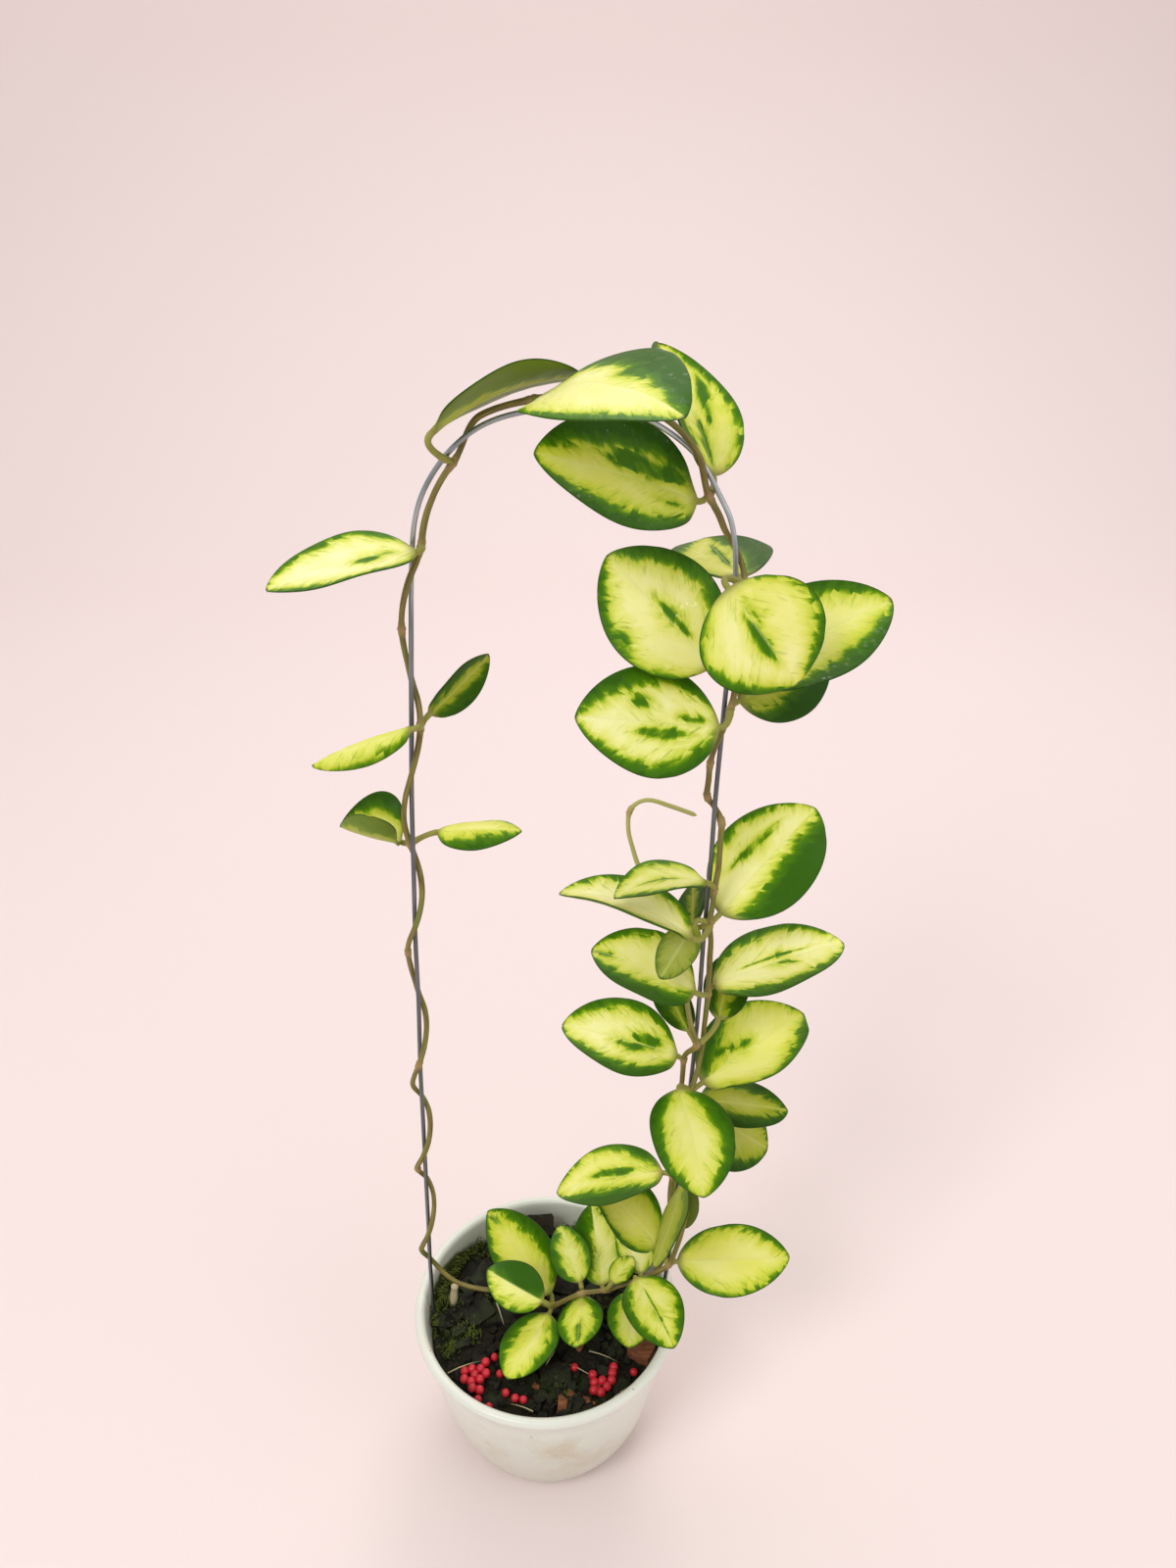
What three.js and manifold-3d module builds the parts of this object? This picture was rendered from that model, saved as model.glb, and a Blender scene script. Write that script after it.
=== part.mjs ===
// A climbing hoya trained round a wire hoop, in a small white plastic pot.
// Millimetres, +Z up. The origin is the middle of the pot's underside and the hoop faces -Y.
import * as THREE from 'three';
import Module from 'manifold-3d';
import { mergeVertices } from 'three/addons/utils/BufferGeometryUtils.js';

const wasm = await Module();
wasm.setup();

// Driving dimensions
const POT_RIM_RADIUS = 50;
const POT_BASE_RADIUS = 32;
const POT_HEIGHT = 68;
const POT_WALL = 2;
const SOIL_LEVEL = 55;
const CLEARANCE = 0.3;
const HOLE_GAP = 0.55;
const WIRE_RADIUS = 0.75;
const VINE_RADIUS = 0.9;
const SHOOT_RADIUS = 0.75;
const HOOP_LEAN = 5;
const BLADE_THICKNESS = 1.1;
const PETIOLE_RADIUS = 0.9;
const PELLET_RADIUS = 1.7;

const radians = THREE.MathUtils.degToRad;
const vector = (x, y, z) => new THREE.Vector3(x, y, z);

// ---------------------------------------------------------------- helpers

// The same sequence of numbers between 0 and 1 on every run.
function seededRandom(seed) {
  let state = seed;
  return () => {
    state = (Math.imul(state, 1664525) + 1013904223) >>> 0;
    return state / 4294967296;
  };
}

// A closed mesh as a solid, with its shared corners merged and its empty triangles dropped.
function solid(geometry) {
  const bare = geometry.clone();
  bare.deleteAttribute('normal');
  bare.deleteAttribute('uv');
  const merged = mergeVertices(bare, 1e-4);
  const corners = merged.index.array;
  const kept = [];
  for (let i = 0; i < corners.length; i += 3) {
    const [a, b, c] = corners.slice(i, i + 3);
    if (a !== b && b !== c && c !== a) kept.push(a, b, c);
  }
  const body = new wasm.Manifold(new wasm.Mesh({
    numProp: 3,
    vertProperties: new Float32Array(merged.attributes.position.array),
    triVerts: new Uint32Array(kept),
  }));
  return body;
}

function toGeometry(body) {
  const mesh = body.getMesh();
  const geometry = new THREE.BufferGeometry();
  geometry.setAttribute('position', new THREE.Float32BufferAttribute(mesh.vertProperties, 3));
  geometry.setIndex(new THREE.Uint32BufferAttribute(mesh.triVerts, 1));
  return geometry;
}

const fuse = (geometries) => geometries.map(solid).reduce((whole, piece) => whole.add(piece));

// Rings of points, each running anticlockwise about the way forward, joined into one closed body.
// Where mirrored is set, the second half of a ring splits its squares the other way, so that the
// two faces of a thin blade are split into triangles alike. Each end is closed by a ladder of
// squares between the two halves of its ring.
function loft(rings, mirrored = false) {
  const count = rings[0].length;
  const positions = rings.flat().flatMap((point) => [point.x, point.y, point.z]);
  const index = [];
  for (let i = 0; i < rings.length - 1; i += 1) {
    for (let j = 0; j < count; j += 1) {
      const a = i * count + j;
      const b = i * count + (j + 1) % count;
      const c = b + count;
      const d = a + count;
      if (mirrored && j >= count / 2) index.push(a, b, d, b, c, d);
      else index.push(a, b, c, a, c, d);
    }
  }
  const last = (rings.length - 1) * count;
  for (let j = 0; j < count / 2 - 1; j += 1) {
    const [a, b, c, d] = [j, j + 1, count - 2 - j, count - 1 - j];
    index.push(a, c, b, a, d, c);
    index.push(last + a, last + b, last + c, last + a, last + c, last + d);
  }
  const geometry = new THREE.BufferGeometry();
  geometry.setAttribute('position', new THREE.Float32BufferAttribute(positions, 3));
  geometry.setIndex(index);
  return geometry;
}

function lathe(profile, segments) {
  const geometry = new THREE.LatheGeometry(profile.map(([r, z]) => new THREE.Vector2(r, z)), segments);
  return geometry.rotateX(Math.PI / 2);
}

// A round rod of one thickness along a curve.
function rod(curve, radius, sides, steps) {
  const section = new THREE.Shape();
  section.setFromPoints(Array.from({ length: sides }, (_, i) => {
    const angle = (2 * Math.PI * i) / sides;
    return new THREE.Vector2(radius * Math.cos(angle), radius * Math.sin(angle));
  }));
  return new THREE.ExtrudeGeometry(section, { steps, extrudePath: curve, bevelEnabled: false });
}

// ---------------------------------------------------------------- pot

// The pot is one thin moulding: a bowed body that flares into a smooth rounded lip, a recessed
// ring under the base between the middle pad and the foot, and drainage holes in that ring.
const DRAIN_HOLES = 6;
const DRAIN_RADIUS = 3;
const DRAIN_CIRCLE = 19;
const BASE_RECESS = 1.5;
const POT_SIDES = 36;

const POT_OUTSIDE = [
  [POT_BASE_RADIUS - 3, 0],
  [POT_BASE_RADIUS - 0.5, 1.5],
  [POT_BASE_RADIUS + 2.5, 6],
  [POT_BASE_RADIUS + 6.5, 15],
  [POT_BASE_RADIUS + 9.5, 26],
  [POT_BASE_RADIUS + 12, 39],
  [POT_BASE_RADIUS + 13.8, 51],
  [POT_BASE_RADIUS + 15.2, 59],
  [POT_RIM_RADIUS - 0.8, POT_HEIGHT - 4],
  [POT_RIM_RADIUS, POT_HEIGHT - 1.8],
  [POT_RIM_RADIUS - 1, POT_HEIGHT],
];

function potGeometry() {
  const lipInside = POT_RIM_RADIUS - 3.6;
  const inside = [
    [lipInside, POT_HEIGHT - 0.6],
    [POT_BASE_RADIUS + 13, 57],
    [POT_BASE_RADIUS + 11.8, 51],
    [POT_BASE_RADIUS + 10, 39],
    [POT_BASE_RADIUS + 7.5, 26],
    [POT_BASE_RADIUS + 4.5, 15],
    [POT_BASE_RADIUS, 6],
    [POT_BASE_RADIUS - 4, BASE_RECESS + POT_WALL],
  ];
  const profile = [
    [0, 0],
    [12, 0],
    [13.5, BASE_RECESS],
    [24.5, BASE_RECESS],
    [26, 0],
    ...POT_OUTSIDE,
    ...inside,
    [0, BASE_RECESS + POT_WALL],
  ];
  let body = solid(lathe(profile, POT_SIDES));
  for (let i = 0; i < DRAIN_HOLES; i += 1) {
    const angle = (2 * Math.PI * (i + 0.5)) / DRAIN_HOLES;
    const hole = new THREE.CylinderGeometry(DRAIN_RADIUS, DRAIN_RADIUS, 12, 12);
    hole.rotateX(Math.PI / 2);
    hole.translate(DRAIN_CIRCLE * Math.cos(angle), DRAIN_CIRCLE * Math.sin(angle), 0);
    body = body.subtract(solid(hole));
  }
  return toGeometry(body);
}

// ---------------------------------------------------------------- wire hoop

// The hoop is one galvanised wire bent to an arch. Its points are [x, height], counted from the
// right foot, which stands in the soil, over the top to the left foot. It leans back a little.
const HOOP_POINTS = [
  [38, 30], [43, 57], [45.5, 80], [47.5, 105], [49, 130], [50.5, 155], [52, 180], [53, 205],
  [53.5, 230], [54.5, 255], [55, 280], [56, 305], [57, 330], [57.5, 350], [56, 364], [52, 373],
  [45, 384], [34, 392], [20, 397], [5, 396], [-9, 393], [-19, 387], [-27, 377.5], [-31.5, 367],
  [-33.5, 352], [-35, 330], [-36.5, 305], [-38, 280], [-39, 255], [-40, 230], [-40.5, 205],
  [-41.5, 180], [-42, 155], [-42.5, 130], [-43, 105], [-43.5, 80], [-43, 57], [-38.5, 30],
];
const LEAN = Math.tan(radians(HOOP_LEAN));
const onHoopPlane = (x, z) => vector(x, (z - SOIL_LEVEL) * LEAN, z);
const hoopPoints = HOOP_POINTS.map(([x, z]) => onHoopPlane(x, z));
const hoop = new THREE.CatmullRomCurve3(hoopPoints, false, 'catmullrom', 0.5);
const HOOP_STEPS = 84;

// ---------------------------------------------------------------- vine

// One stem climbs the right leg of the hoop, runs over the top and down the left leg, crosses
// the pot and climbs the right leg again, where its young end lets go of the wire.
// A stop on the wire is [place, quarter, off]: the place is counted in the hoop's own points,
// the quarter is the side of the wire in quarter turns (0 inside the hoop, 1 in front, 2 outside,
// 3 behind, and so on round), and off is the distance between the two middles.
// A stop away from the wire is a point in millimetres. A name makes the stop a swollen node.
const VINE_STOPS = [
  { point: [37, 10, 34] },
  { point: [38, 9.5, 56] },
  { point: [41, 8.5, 70] },
  { wire: [2.4, -1, 2.6] },
  { wire: [3.2, -0.5, 2.4] },
  { wire: [4, 0.2, 2.8], name: 'low' },
  { wire: [4.8, 0.6, 2.5] },
  { wire: [5.6, 1, 2.8], name: 'rightA' },
  { wire: [6.6, 2, 2.5] },
  { wire: [7.15, 2, 2.8], name: 'rightB' },
  { wire: [7.7, 2, 2.5] },
  { wire: [8.3, 1.3, 2.7], name: 'rightC' },
  { wire: [8.8, 1.4, 2.7], name: 'rightD' },
  { wire: [9.3, 2, 2.5] },
  { wire: [9.7, 2.2, 2.6], name: 'bareA' },
  { wire: [9.88, 3, 2.8] },
  { wire: [10.05, 3.9, 2.6], name: 'bareB' },
  { wire: [10.5, 4, 2.6], name: 'bareC' },
  { wire: [11, 5, 2.5] },
  { wire: [11.25, 5.4, 2.7], name: 'rightE' },
  { wire: [11.65, 6, 2.7], name: 'rightF' },
  { wire: [12.4, 6, 2.5] },
  { wire: [12.9, 6, 2.7], name: 'rightG' },
  { wire: [13.55, 7, 2.5] },
  { wire: [14.2, 8, 2.5] },
  { wire: [15.1, 8, 2.7], name: 'archA' },
  { wire: [15.85, 9, 2.5] },
  { wire: [17, 10, 2.5] },
  { wire: [19.2, 10, 2.7], name: 'archB' },
  { wire: [20.1, 10, 2.5] },
  { wire: [20.75, 11, 2.5] },
  { wire: [21.4, 12, 2.7], name: 'archC' },
  { wire: [22.5, 12.1, 3] },
  { wire: [23.55, 12.2, 2.7], name: 'leftA' },
  { wire: [24.05, 13, 2.8] },
  { wire: [24.8, 14, 2.7], name: 'bareD' },
  { wire: [25.5, 15, 2.5] },
  { wire: [26, 16, 2.7], name: 'leftB' },
  { wire: [26.65, 17, 2.5] },
  { wire: [27.25, 18, 2.5] },
  { wire: [27.65, 18.7, 2.7], name: 'leftC' },
  { wire: [28.35, 20, 2.5] },
  { wire: [28.8, 21, 2.5] },
  { wire: [29.2, 22, 2.6], name: 'bareE' },
  { wire: [29.95, 23, 2.5] },
  { wire: [30.4, 24, 2.5] },
  { wire: [30.95, 25, 2.6], name: 'bareF' },
  { wire: [31.4, 26, 2.8] },
  { wire: [31.7, 27, 2.8] },
  { wire: [32.1, 28, 2.5] },
  { wire: [32.55, 29, 2.9] },
  { wire: [32.9, 30, 2.8], name: 'bareG' },
  { wire: [33.2, 31, 2.9] },
  { wire: [33.6, 32, 2.5] },
  { wire: [34.1, 33, 2.5] },
  { wire: [34.5, 34, 2.9] },
  { wire: [34.8, 35, 2.8] },
  { point: [-39.5, 5, 78] },
  { point: [-35.5, 3.5, 75] },
  { point: [-30.5, 2.5, 73] },
  { point: [-25, 1.5, 72.5] },
  { point: [-17, 0.5, 72.5] },
  { point: [-6.5, -1, 70] },
  { point: [2, -1, 66], name: 'potA' },
  { point: [8.5, -1, 70] },
  { point: [13.5, -0.5, 72.5], name: 'potB' },
  { point: [18, -0.5, 73.5] },
  { point: [23, -0.5, 74.5], name: 'potC' },
  { point: [28.5, 0, 76.5] },
  { point: [34.5, 0, 79.5], name: 'potD' },
  { point: [40, -0.5, 83.5] },
  { wire: [2.35, 1, 3.3], name: 'potE' },
  { wire: [3.3, 2, 4] },
  { wire: [4.15, 2.5, 3.4], name: 'secondA' },
  { wire: [4.6, 3, 3.1] },
  { wire: [5.1, 3.6, 3.3], name: 'secondB' },
  { wire: [5.6, 4, 3.1] },
  { wire: [6.05, 4, 3.3], name: 'secondC' },
  { wire: [6.45, 5, 4.8], name: 'secondD' },
  { wire: [6.85, 4.5, 4.5], shoot: true },
  { wire: [7.25, 4, 4.5], shoot: true },
  { point: [48.5, 19, 216], shoot: true },
  { point: [45.5, 26, 226], shoot: true },
  { point: [43.5, 29, 231.5], shoot: true },
  { point: [38, 31, 240], shoot: true },
  { point: [33, 32, 246.5], shoot: true },
  { point: [30.5, 33, 254], shoot: true },
  { point: [29, 33.5, 261], shoot: true },
  { point: [29.5, 34, 267.5], shoot: true, name: 'shootTip' },
  { point: [32, 34, 270.5], shoot: true },
  { point: [35.5, 34, 271.5], shoot: true },
  { point: [43, 34, 269], shoot: true },
  { point: [51, 33.5, 266], shoot: true },
];
const NODE_SWELL = 0.35;
const NODE_LENGTH = 3;
const STOP_SPACING = 0.25;
const VINE_SIDES = 6;
const RING_TURN = radians(22);
const RING_SPACING = 11;

// A point beside the wire, on the side that the quarter turn gives.
function besideWire([place, quarter, off]) {
  const t = place / (HOOP_POINTS.length - 1);
  const front = vector(0, -Math.cos(radians(HOOP_LEAN)), Math.sin(radians(HOOP_LEAN)));
  const inside = front.clone().cross(hoop.getTangent(t)).normalize();
  const angle = (quarter * Math.PI) / 2;
  return hoop.getPoint(t)
    .addScaledVector(inside, off * Math.cos(angle))
    .addScaledVector(front, off * Math.sin(angle));
}

// Between two stops on the wire the stem winds evenly, so the stretch is filled with points.
function vinePoints() {
  const points = [];
  const nodes = {};
  let shootStart = 0;
  VINE_STOPS.forEach((stop, i) => {
    const before = VINE_STOPS[i - 1];
    if (stop.wire && before?.wire) {
      const fills = Math.max(1, Math.round(Math.abs(stop.wire[0] - before.wire[0]) / STOP_SPACING));
      for (let j = 1; j < fills; j += 1) {
        const between = stop.wire.map((end, k) => THREE.MathUtils.lerp(before.wire[k], end, j / fills));
        points.push(besideWire(between));
      }
    }
    const point = stop.wire ? besideWire(stop.wire) : vector(...stop.point);
    if (stop.name) nodes[stop.name] = point;
    if (stop.shoot && !shootStart) shootStart = points.length;
    points.push(point);
  });
  return { points, nodes, shootStart };
}

const { points: stemPoints, nodes: stemNodes, shootStart } = vinePoints();

function vineGeometry() {
  const curve = new THREE.CatmullRomCurve3(stemPoints, false, 'centripetal');
  curve.arcLengthDivisions = 4000;
  const length = curve.getLength();
  const steps = Math.round(length);
  const frames = curve.computeFrenetFrames(steps, false);
  const swollen = Object.values(stemNodes);
  const shootFrom = shootStart / (stemPoints.length - 1);

  // A ring is set wherever the stem has turned or run far enough since the last one.
  const places = [0];
  for (let i = 1; i < steps; i += 1) {
    const last = places.at(-1);
    const turned = frames.tangents[i].angleTo(frames.tangents[last]);
    if (turned > RING_TURN || i - last > RING_SPACING) places.push(i);
  }
  const rings = [...places, steps].map((i) => {
    const middle = curve.getPointAt(i / steps);
    const nearest = Math.min(...swollen.map((node) => node.distanceTo(middle)));
    const swell = NODE_SWELL * Math.max(0, 1 - nearest / NODE_LENGTH);
    const radius = (curve.getUtoTmapping(i / steps) < shootFrom ? VINE_RADIUS : SHOOT_RADIUS) + swell;
    return Array.from({ length: VINE_SIDES }, (_, j) => {
      const angle = (2 * Math.PI * j) / VINE_SIDES;
      return middle.clone()
        .addScaledVector(frames.normals[i], radius * Math.cos(angle))
        .addScaledVector(frames.binormals[i], radius * Math.sin(angle));
    });
  });
  return loft(rings);
}

// ---------------------------------------------------------------- leaves

// Each row is a leaf: its name, the stem node it grows from, where its blade starts, the heading
// and rise of the blade in degrees (heading 0 is +X and 90 is +Y), its roll about that line,
// its length and width, how far the midrib bends along it, and how far each half of the blade
// curls up (or, below zero, down), both in degrees.
const LEAVES = [
  ['leaf_arch_1', 'archC', [-24.5, 21, 392], 20, 15, -30, 44, 30, 40, 15],
  ['leaf_arch_2', 'archB', [3.5, 26.5, 399], -45, 5, 15, 52, 40, 55, 5],
  ['leaf_arch_3', 'archA', [50.5, 34.5, 376.5], 115, 40, 25, 45, 34, 20, 30],
  ['leaf_arch_4', 'archA', [45.5, 26.5, 372], -165, 20, -40, 48, 36, 15, 20],
  ['leaf_right_1', 'rightF', [51.5, 16.5, 327], 150, 38, -55, 44, 34, 20, 15],
  ['leaf_right_2', 'rightG', [59, 32.5, 347.5], 100, -3, -5, 39, 31, 5, 10],
  ['leaf_right_3', 'rightG', [54, 13.5, 352], -20, -50, 65, 34, 36, 40, 10],
  ['leaf_right_4', 'rightF', [61, 26.5, 318.5], 20, 20, 35, 52, 33, 15, 30],
  ['leaf_right_5', 'rightE', [61, 25.5, 311.5], 35, 5, 55, 37, 25, 0, 15],
  ['leaf_right_6', 'rightE', [54, 13.5, 309], -170, 10, -45, 43, 34, 0, 10],
  ['leaf_right_7', 'rightC', [58.5, 17, 239], 42, 25, 20, 50, 34, 12, 12],
  ['leaf_right_8', 'rightC', [48.5, 4.5, 239], 160, 8, 10, 46, 25, 45, 35],
  ['leaf_right_9', 'rightD', [52.5, 12, 255], -170, -5, 10, 30, 23, 50, 20],
  ['leaf_right_10', 'rightC', [50, 16.5, 235], 85, 10, -45, 20, 14, 5, 15],
  ['leaf_right_11', 'rightC', [50, 12, 239], -135, -40, 150, 21, 13, 30, 25],
  ['leaf_right_12', 'rightB', [51, 9, 213], 170, 20, -10, 37, 30, 25, 25],
  ['leaf_right_13', 'rightB', [58, 17, 209], 10, 15, 0, 46, 33, 10, 20],
  ['leaf_right_14', 'secondD', [50, 11.5, 194], 125, 45, -70, 25, 16, 15, 10],
  ['leaf_right_15', 'secondD', [60, 14, 197], 75, 22, 20, 25, 17, 10, 30],
  ['leaf_right_16', 'secondC', [46.5, 11.5, 182.5], 175, 15, -10, 41, 32, 15, 20],
  ['leaf_right_17', 'rightA', [55.5, 10.5, 171], 35, 8, 10, 48, 33, 15, 40],
  ['leaf_right_18', 'secondB', [55.5, 13.5, 160], 0, -10, 0, 32, 24, 0, 10],
  ['leaf_right_19', 'rightA', [47, 3.5, 175], -80, -20, -5, 38, 29, 25, 15],
  ['leaf_right_20', 'secondB', [53, 16.5, 153], 3, -38, 35, 37, 31, 15, 10],
  ['leaf_right_21', 'low', [43, 7.5, 129.5], -180, -15, 5, 40, 30, 20, 20],
  ['leaf_right_22', 'potE', [41.5, 4, 94.5], 155, 40, -5, 33, 26, 25, 25],
  ['leaf_right_23', 'secondA', [50.5, 2.5, 130.5], -115, -30, -125, 31, 20, 10, 0],
  ['leaf_right_24', 'secondA', [49, 15, 122.5], -70, -65, -110, 23, 16, -10, 40],
  ['leaf_right_25', 'potE', [49.5, 1.5, 88.5], 10, -10, 50, 45, 27, 0, 15],
  ['leaf_pot_1', 'potA', [1.5, 3.5, 67], 140, 35, 5, 39, 27, 0, 20],
  ['leaf_pot_2', 'potA', [-1, -5, 74], 160, 20, -35, 24, 18, 15, 15],
  ['leaf_pot_3', 'potB', [13, 3, 74.5], 118, 40, -25, 22, 16, 12, 15],
  ['leaf_pot_4', 'potC', [21.5, 4, 71], 100, 35, 0, 30, 21, 5, 30],
  ['leaf_pot_5', 'potC', [25, -1.5, 80], 50, 10, 10, 13, 9, 10, 15],
  ['leaf_pot_6', 'potD', [36, 4, 78], 100, 20, 0, 22, 16, 15, 20],
  ['leaf_pot_7', 'potD', [34, -2, 83], -65, -5, 5, 30, 22, 25, 20],
  ['leaf_pot_8', 'potD', [34, -3.5, 78.5], -98, -5, 10, 23, 19, 10, 15],
  ['leaf_pot_9', 'potB', [14, 1, 68.5], -95, 5, 15, 23, 18, 5, -5],
  ['leaf_pot_10', 'potA', [1, -3, 63.5], -120, -5, 10, 29, 22, 10, 5],
  ['leaf_left_1', 'leftA', [-31, 21, 359.5], -165, -10, -5, 42, 29, 25, 15],
  ['leaf_left_2', 'leftB', [-31.5, 26.5, 306.5], 40, 30, 95, 26, 15, 5, 35],
  ['leaf_left_3', 'leftB', [-35.5, 16, 307], -175, -20, -10, 32, 14, 10, -90],
  ['leaf_left_4', 'leftC', [-43.5, 25.5, 261], 175, 15, 15, 20, 36, 5, 80],
  ['leaf_left_5', 'leftC', [-31, 23, 266.5], -15, 10, 0, 28, 18, 10, -25],
];

// Points of a blade's cross-section, from one margin to the other.
const ACROSS = [-1, -0.5, 0, 0.5, 1];
const ALONG = [0.02, 0.1, 0.25, 0.45, 0.66, 0.85, 1];
const MARGIN_THINNING = 0.35;
const TIP_RADIUS = 0.4;

// A stalk starts just clear of its node's skin. Its bend and its rings are shares of its length,
// the rings counted from the stem.
const STALK_ROOT = VINE_RADIUS + NODE_SWELL + CLEARANCE + 0.2;
const STALK_BEND = 0.4;
const STALK_RINGS = [0.6, 0];

const BASE_FULLNESS = 0.6;
const TIP_FULLNESS = 0.7;
const WIDEST = BASE_FULLNESS / (BASE_FULLNESS + TIP_FULLNESS);
const PROFILE_PEAK = WIDEST ** BASE_FULLNESS * (1 - WIDEST) ** TIP_FULLNESS;

// Half the blade's width as a share of its greatest, at a place t from base to tip.
const bladeProfile = (t) => (t ** BASE_FULLNESS * (1 - t) ** TIP_FULLNESS) / PROFILE_PEAK;

// A ring round the leaf at one place: the lower face from margin to margin, then the upper face
// back. The curl is never tighter than the blade's own thickness.
function leafRing(middle, side, up, halfWidth, thickness, curl) {
  const tightest = halfWidth / thickness;
  const angle = THREE.MathUtils.clamp(curl, -tightest, tightest) || 1e-3;
  const face = (v, lift) => {
    const turn = angle * v;
    const across = (halfWidth / angle) * Math.sin(turn) - lift * Math.sin(turn);
    const above = (halfWidth / angle) * (1 - Math.cos(turn)) + lift * Math.cos(turn);
    return middle.clone().addScaledVector(side, across).addScaledVector(up, above);
  };
  const half = (v) => (thickness / 2) * (1 - MARGIN_THINNING * v * v);
  return [...ACROSS.map((v) => face(v, -half(v))), ...ACROSS.toReversed().map((v) => face(v, half(v)))];
}

// The leaf's own directions: along it, across it, and out of its upper face.
function leafFrame(heading, rise, roll) {
  const along = vector(
    Math.cos(radians(rise)) * Math.cos(radians(heading)),
    Math.cos(radians(rise)) * Math.sin(radians(heading)),
    Math.sin(radians(rise)),
  );
  const level = vector(-Math.sin(radians(heading)), Math.cos(radians(heading)), 0);
  const steep = along.clone().cross(level);
  const turn = radians(roll);
  const across = level.clone().multiplyScalar(Math.cos(turn)).addScaledVector(steep, Math.sin(turn));
  const up = steep.clone().multiplyScalar(Math.cos(turn)).addScaledVector(level, -Math.sin(turn));
  return { along, across, up };
}

function leafGeometry([, nodeName, base, heading, rise, roll, length, width, bend, curl]) {
  const { along, across, up } = leafFrame(heading, rise, roll);
  const arch = radians(bend) || 1e-3;
  const start = vector(...base);
  const slope = (t) => arch * (0.5 - t);
  const turned = (first, second, angle) => first.clone()
    .multiplyScalar(Math.cos(angle))
    .addScaledVector(second, Math.sin(angle));
  const forwardAt = (t) => turned(along, up, slope(t));
  const upAt = (t) => turned(up, along, -slope(t));
  const midribAt = (t) => start.clone()
    .addScaledVector(along, (length * (Math.sin(arch / 2) - Math.sin(slope(t)))) / arch)
    .addScaledVector(up, (length * (Math.cos(slope(t)) - Math.cos(arch / 2))) / arch);

  // The stalk runs from the skin of the stem in a curve that meets the blade along its midrib.
  // Its rings are set from the blade back to the stem, each turned like the one before it.
  const node = stemNodes[nodeName];
  const reach = start.distanceTo(node);
  const bendPoint = start.clone().addScaledVector(forwardAt(0), -STALK_BEND * reach);
  const outward = bendPoint.clone().sub(node).normalize();
  const root = node.clone().addScaledVector(outward, STALK_ROOT);
  const stalk = new THREE.QuadraticBezierCurve3(root, bendPoint, start);
  const rings = [];
  let side = across;
  STALK_RINGS.forEach((t) => {
    const forward = stalk.getTangent(t);
    side = side.clone().addScaledVector(forward, -side.dot(forward)).normalize();
    const top = forward.clone().cross(side);
    rings.unshift(leafRing(stalk.getPoint(t), side, top, PETIOLE_RADIUS, 2 * PETIOLE_RADIUS, 0));
  });
  ALONG.forEach((t) => {
    const halfWidth = Math.max((width / 2) * bladeProfile(t), t < 0.5 ? PETIOLE_RADIUS : TIP_RADIUS);
    rings.push(leafRing(midribAt(t), across, upAt(t), halfWidth, BLADE_THICKNESS, radians(curl)));
  });
  return loft(rings, true);
}

// ---------------------------------------------------------------- soil and what lies on it

// The height of the soil's lumpy top at a place.
function soilHeight(x, y) {
  const lumps = 0.9 * Math.sin(x / 6 + 1) * Math.cos(y / 7) + 0.6 * Math.sin(x / 3.1 + y / 4.3);
  return SOIL_LEVEL + lumps;
}

// Bark chunks stand out of the soil: [x, y, height above the soil, length, width, turn, tilt].
const BARK_CHUNKS = [
  [-6, 35, 13.5, 16, 10, 8, 6], [-14, 32, 3, 13, 8, 30, 8], [15, 32, 3, 12, 8, -25, 10],
  [-26, 20, 2.5, 12, 8, 60, 12], [24, 21, 2.5, 11, 8, -50, 10], [-10, 15, 3, 14, 9, 15, 10],
  [8, 16, 2.5, 13, 8, -15, 12], [-27, 3, 2.5, 12, 8, 40, 9], [-6, -4, 2, 13, 9, 70, 8],
  [4, -22, 2, 12, 8, 10, 8], [8, -36, 1.6, 9, 6, 85, 7],
];

function barkChunk([x, y, above, length, width, turn, tilt]) {
  const depth = above + 6;
  const chunk = new THREE.BoxGeometry(length, width, depth);
  chunk.rotateX(radians(tilt));
  chunk.rotateZ(radians(turn));
  return chunk.translate(x, y, soilHeight(x, y) + above - depth / 2);
}

// The stub of a stem that was cut off stands in the soil, and a husk chunk lies on it.
const STUB_POINTS = [vector(-37.5, 6, 46), vector(-37, 7.5, 55), vector(-36, 9, 64)];
const STUB_RADIUS = 1.5;
const HUSK_PLACE = [36, -16, 60];
const HUSK_SIZE = [9, 6.5, 6];
const HUSK_TURN = -30;

const SOIL_RINGS = 6;
const SOIL_SPOKES = 24;
const SOIL_EDGE = POT_BASE_RADIUS + 11.7;

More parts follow.
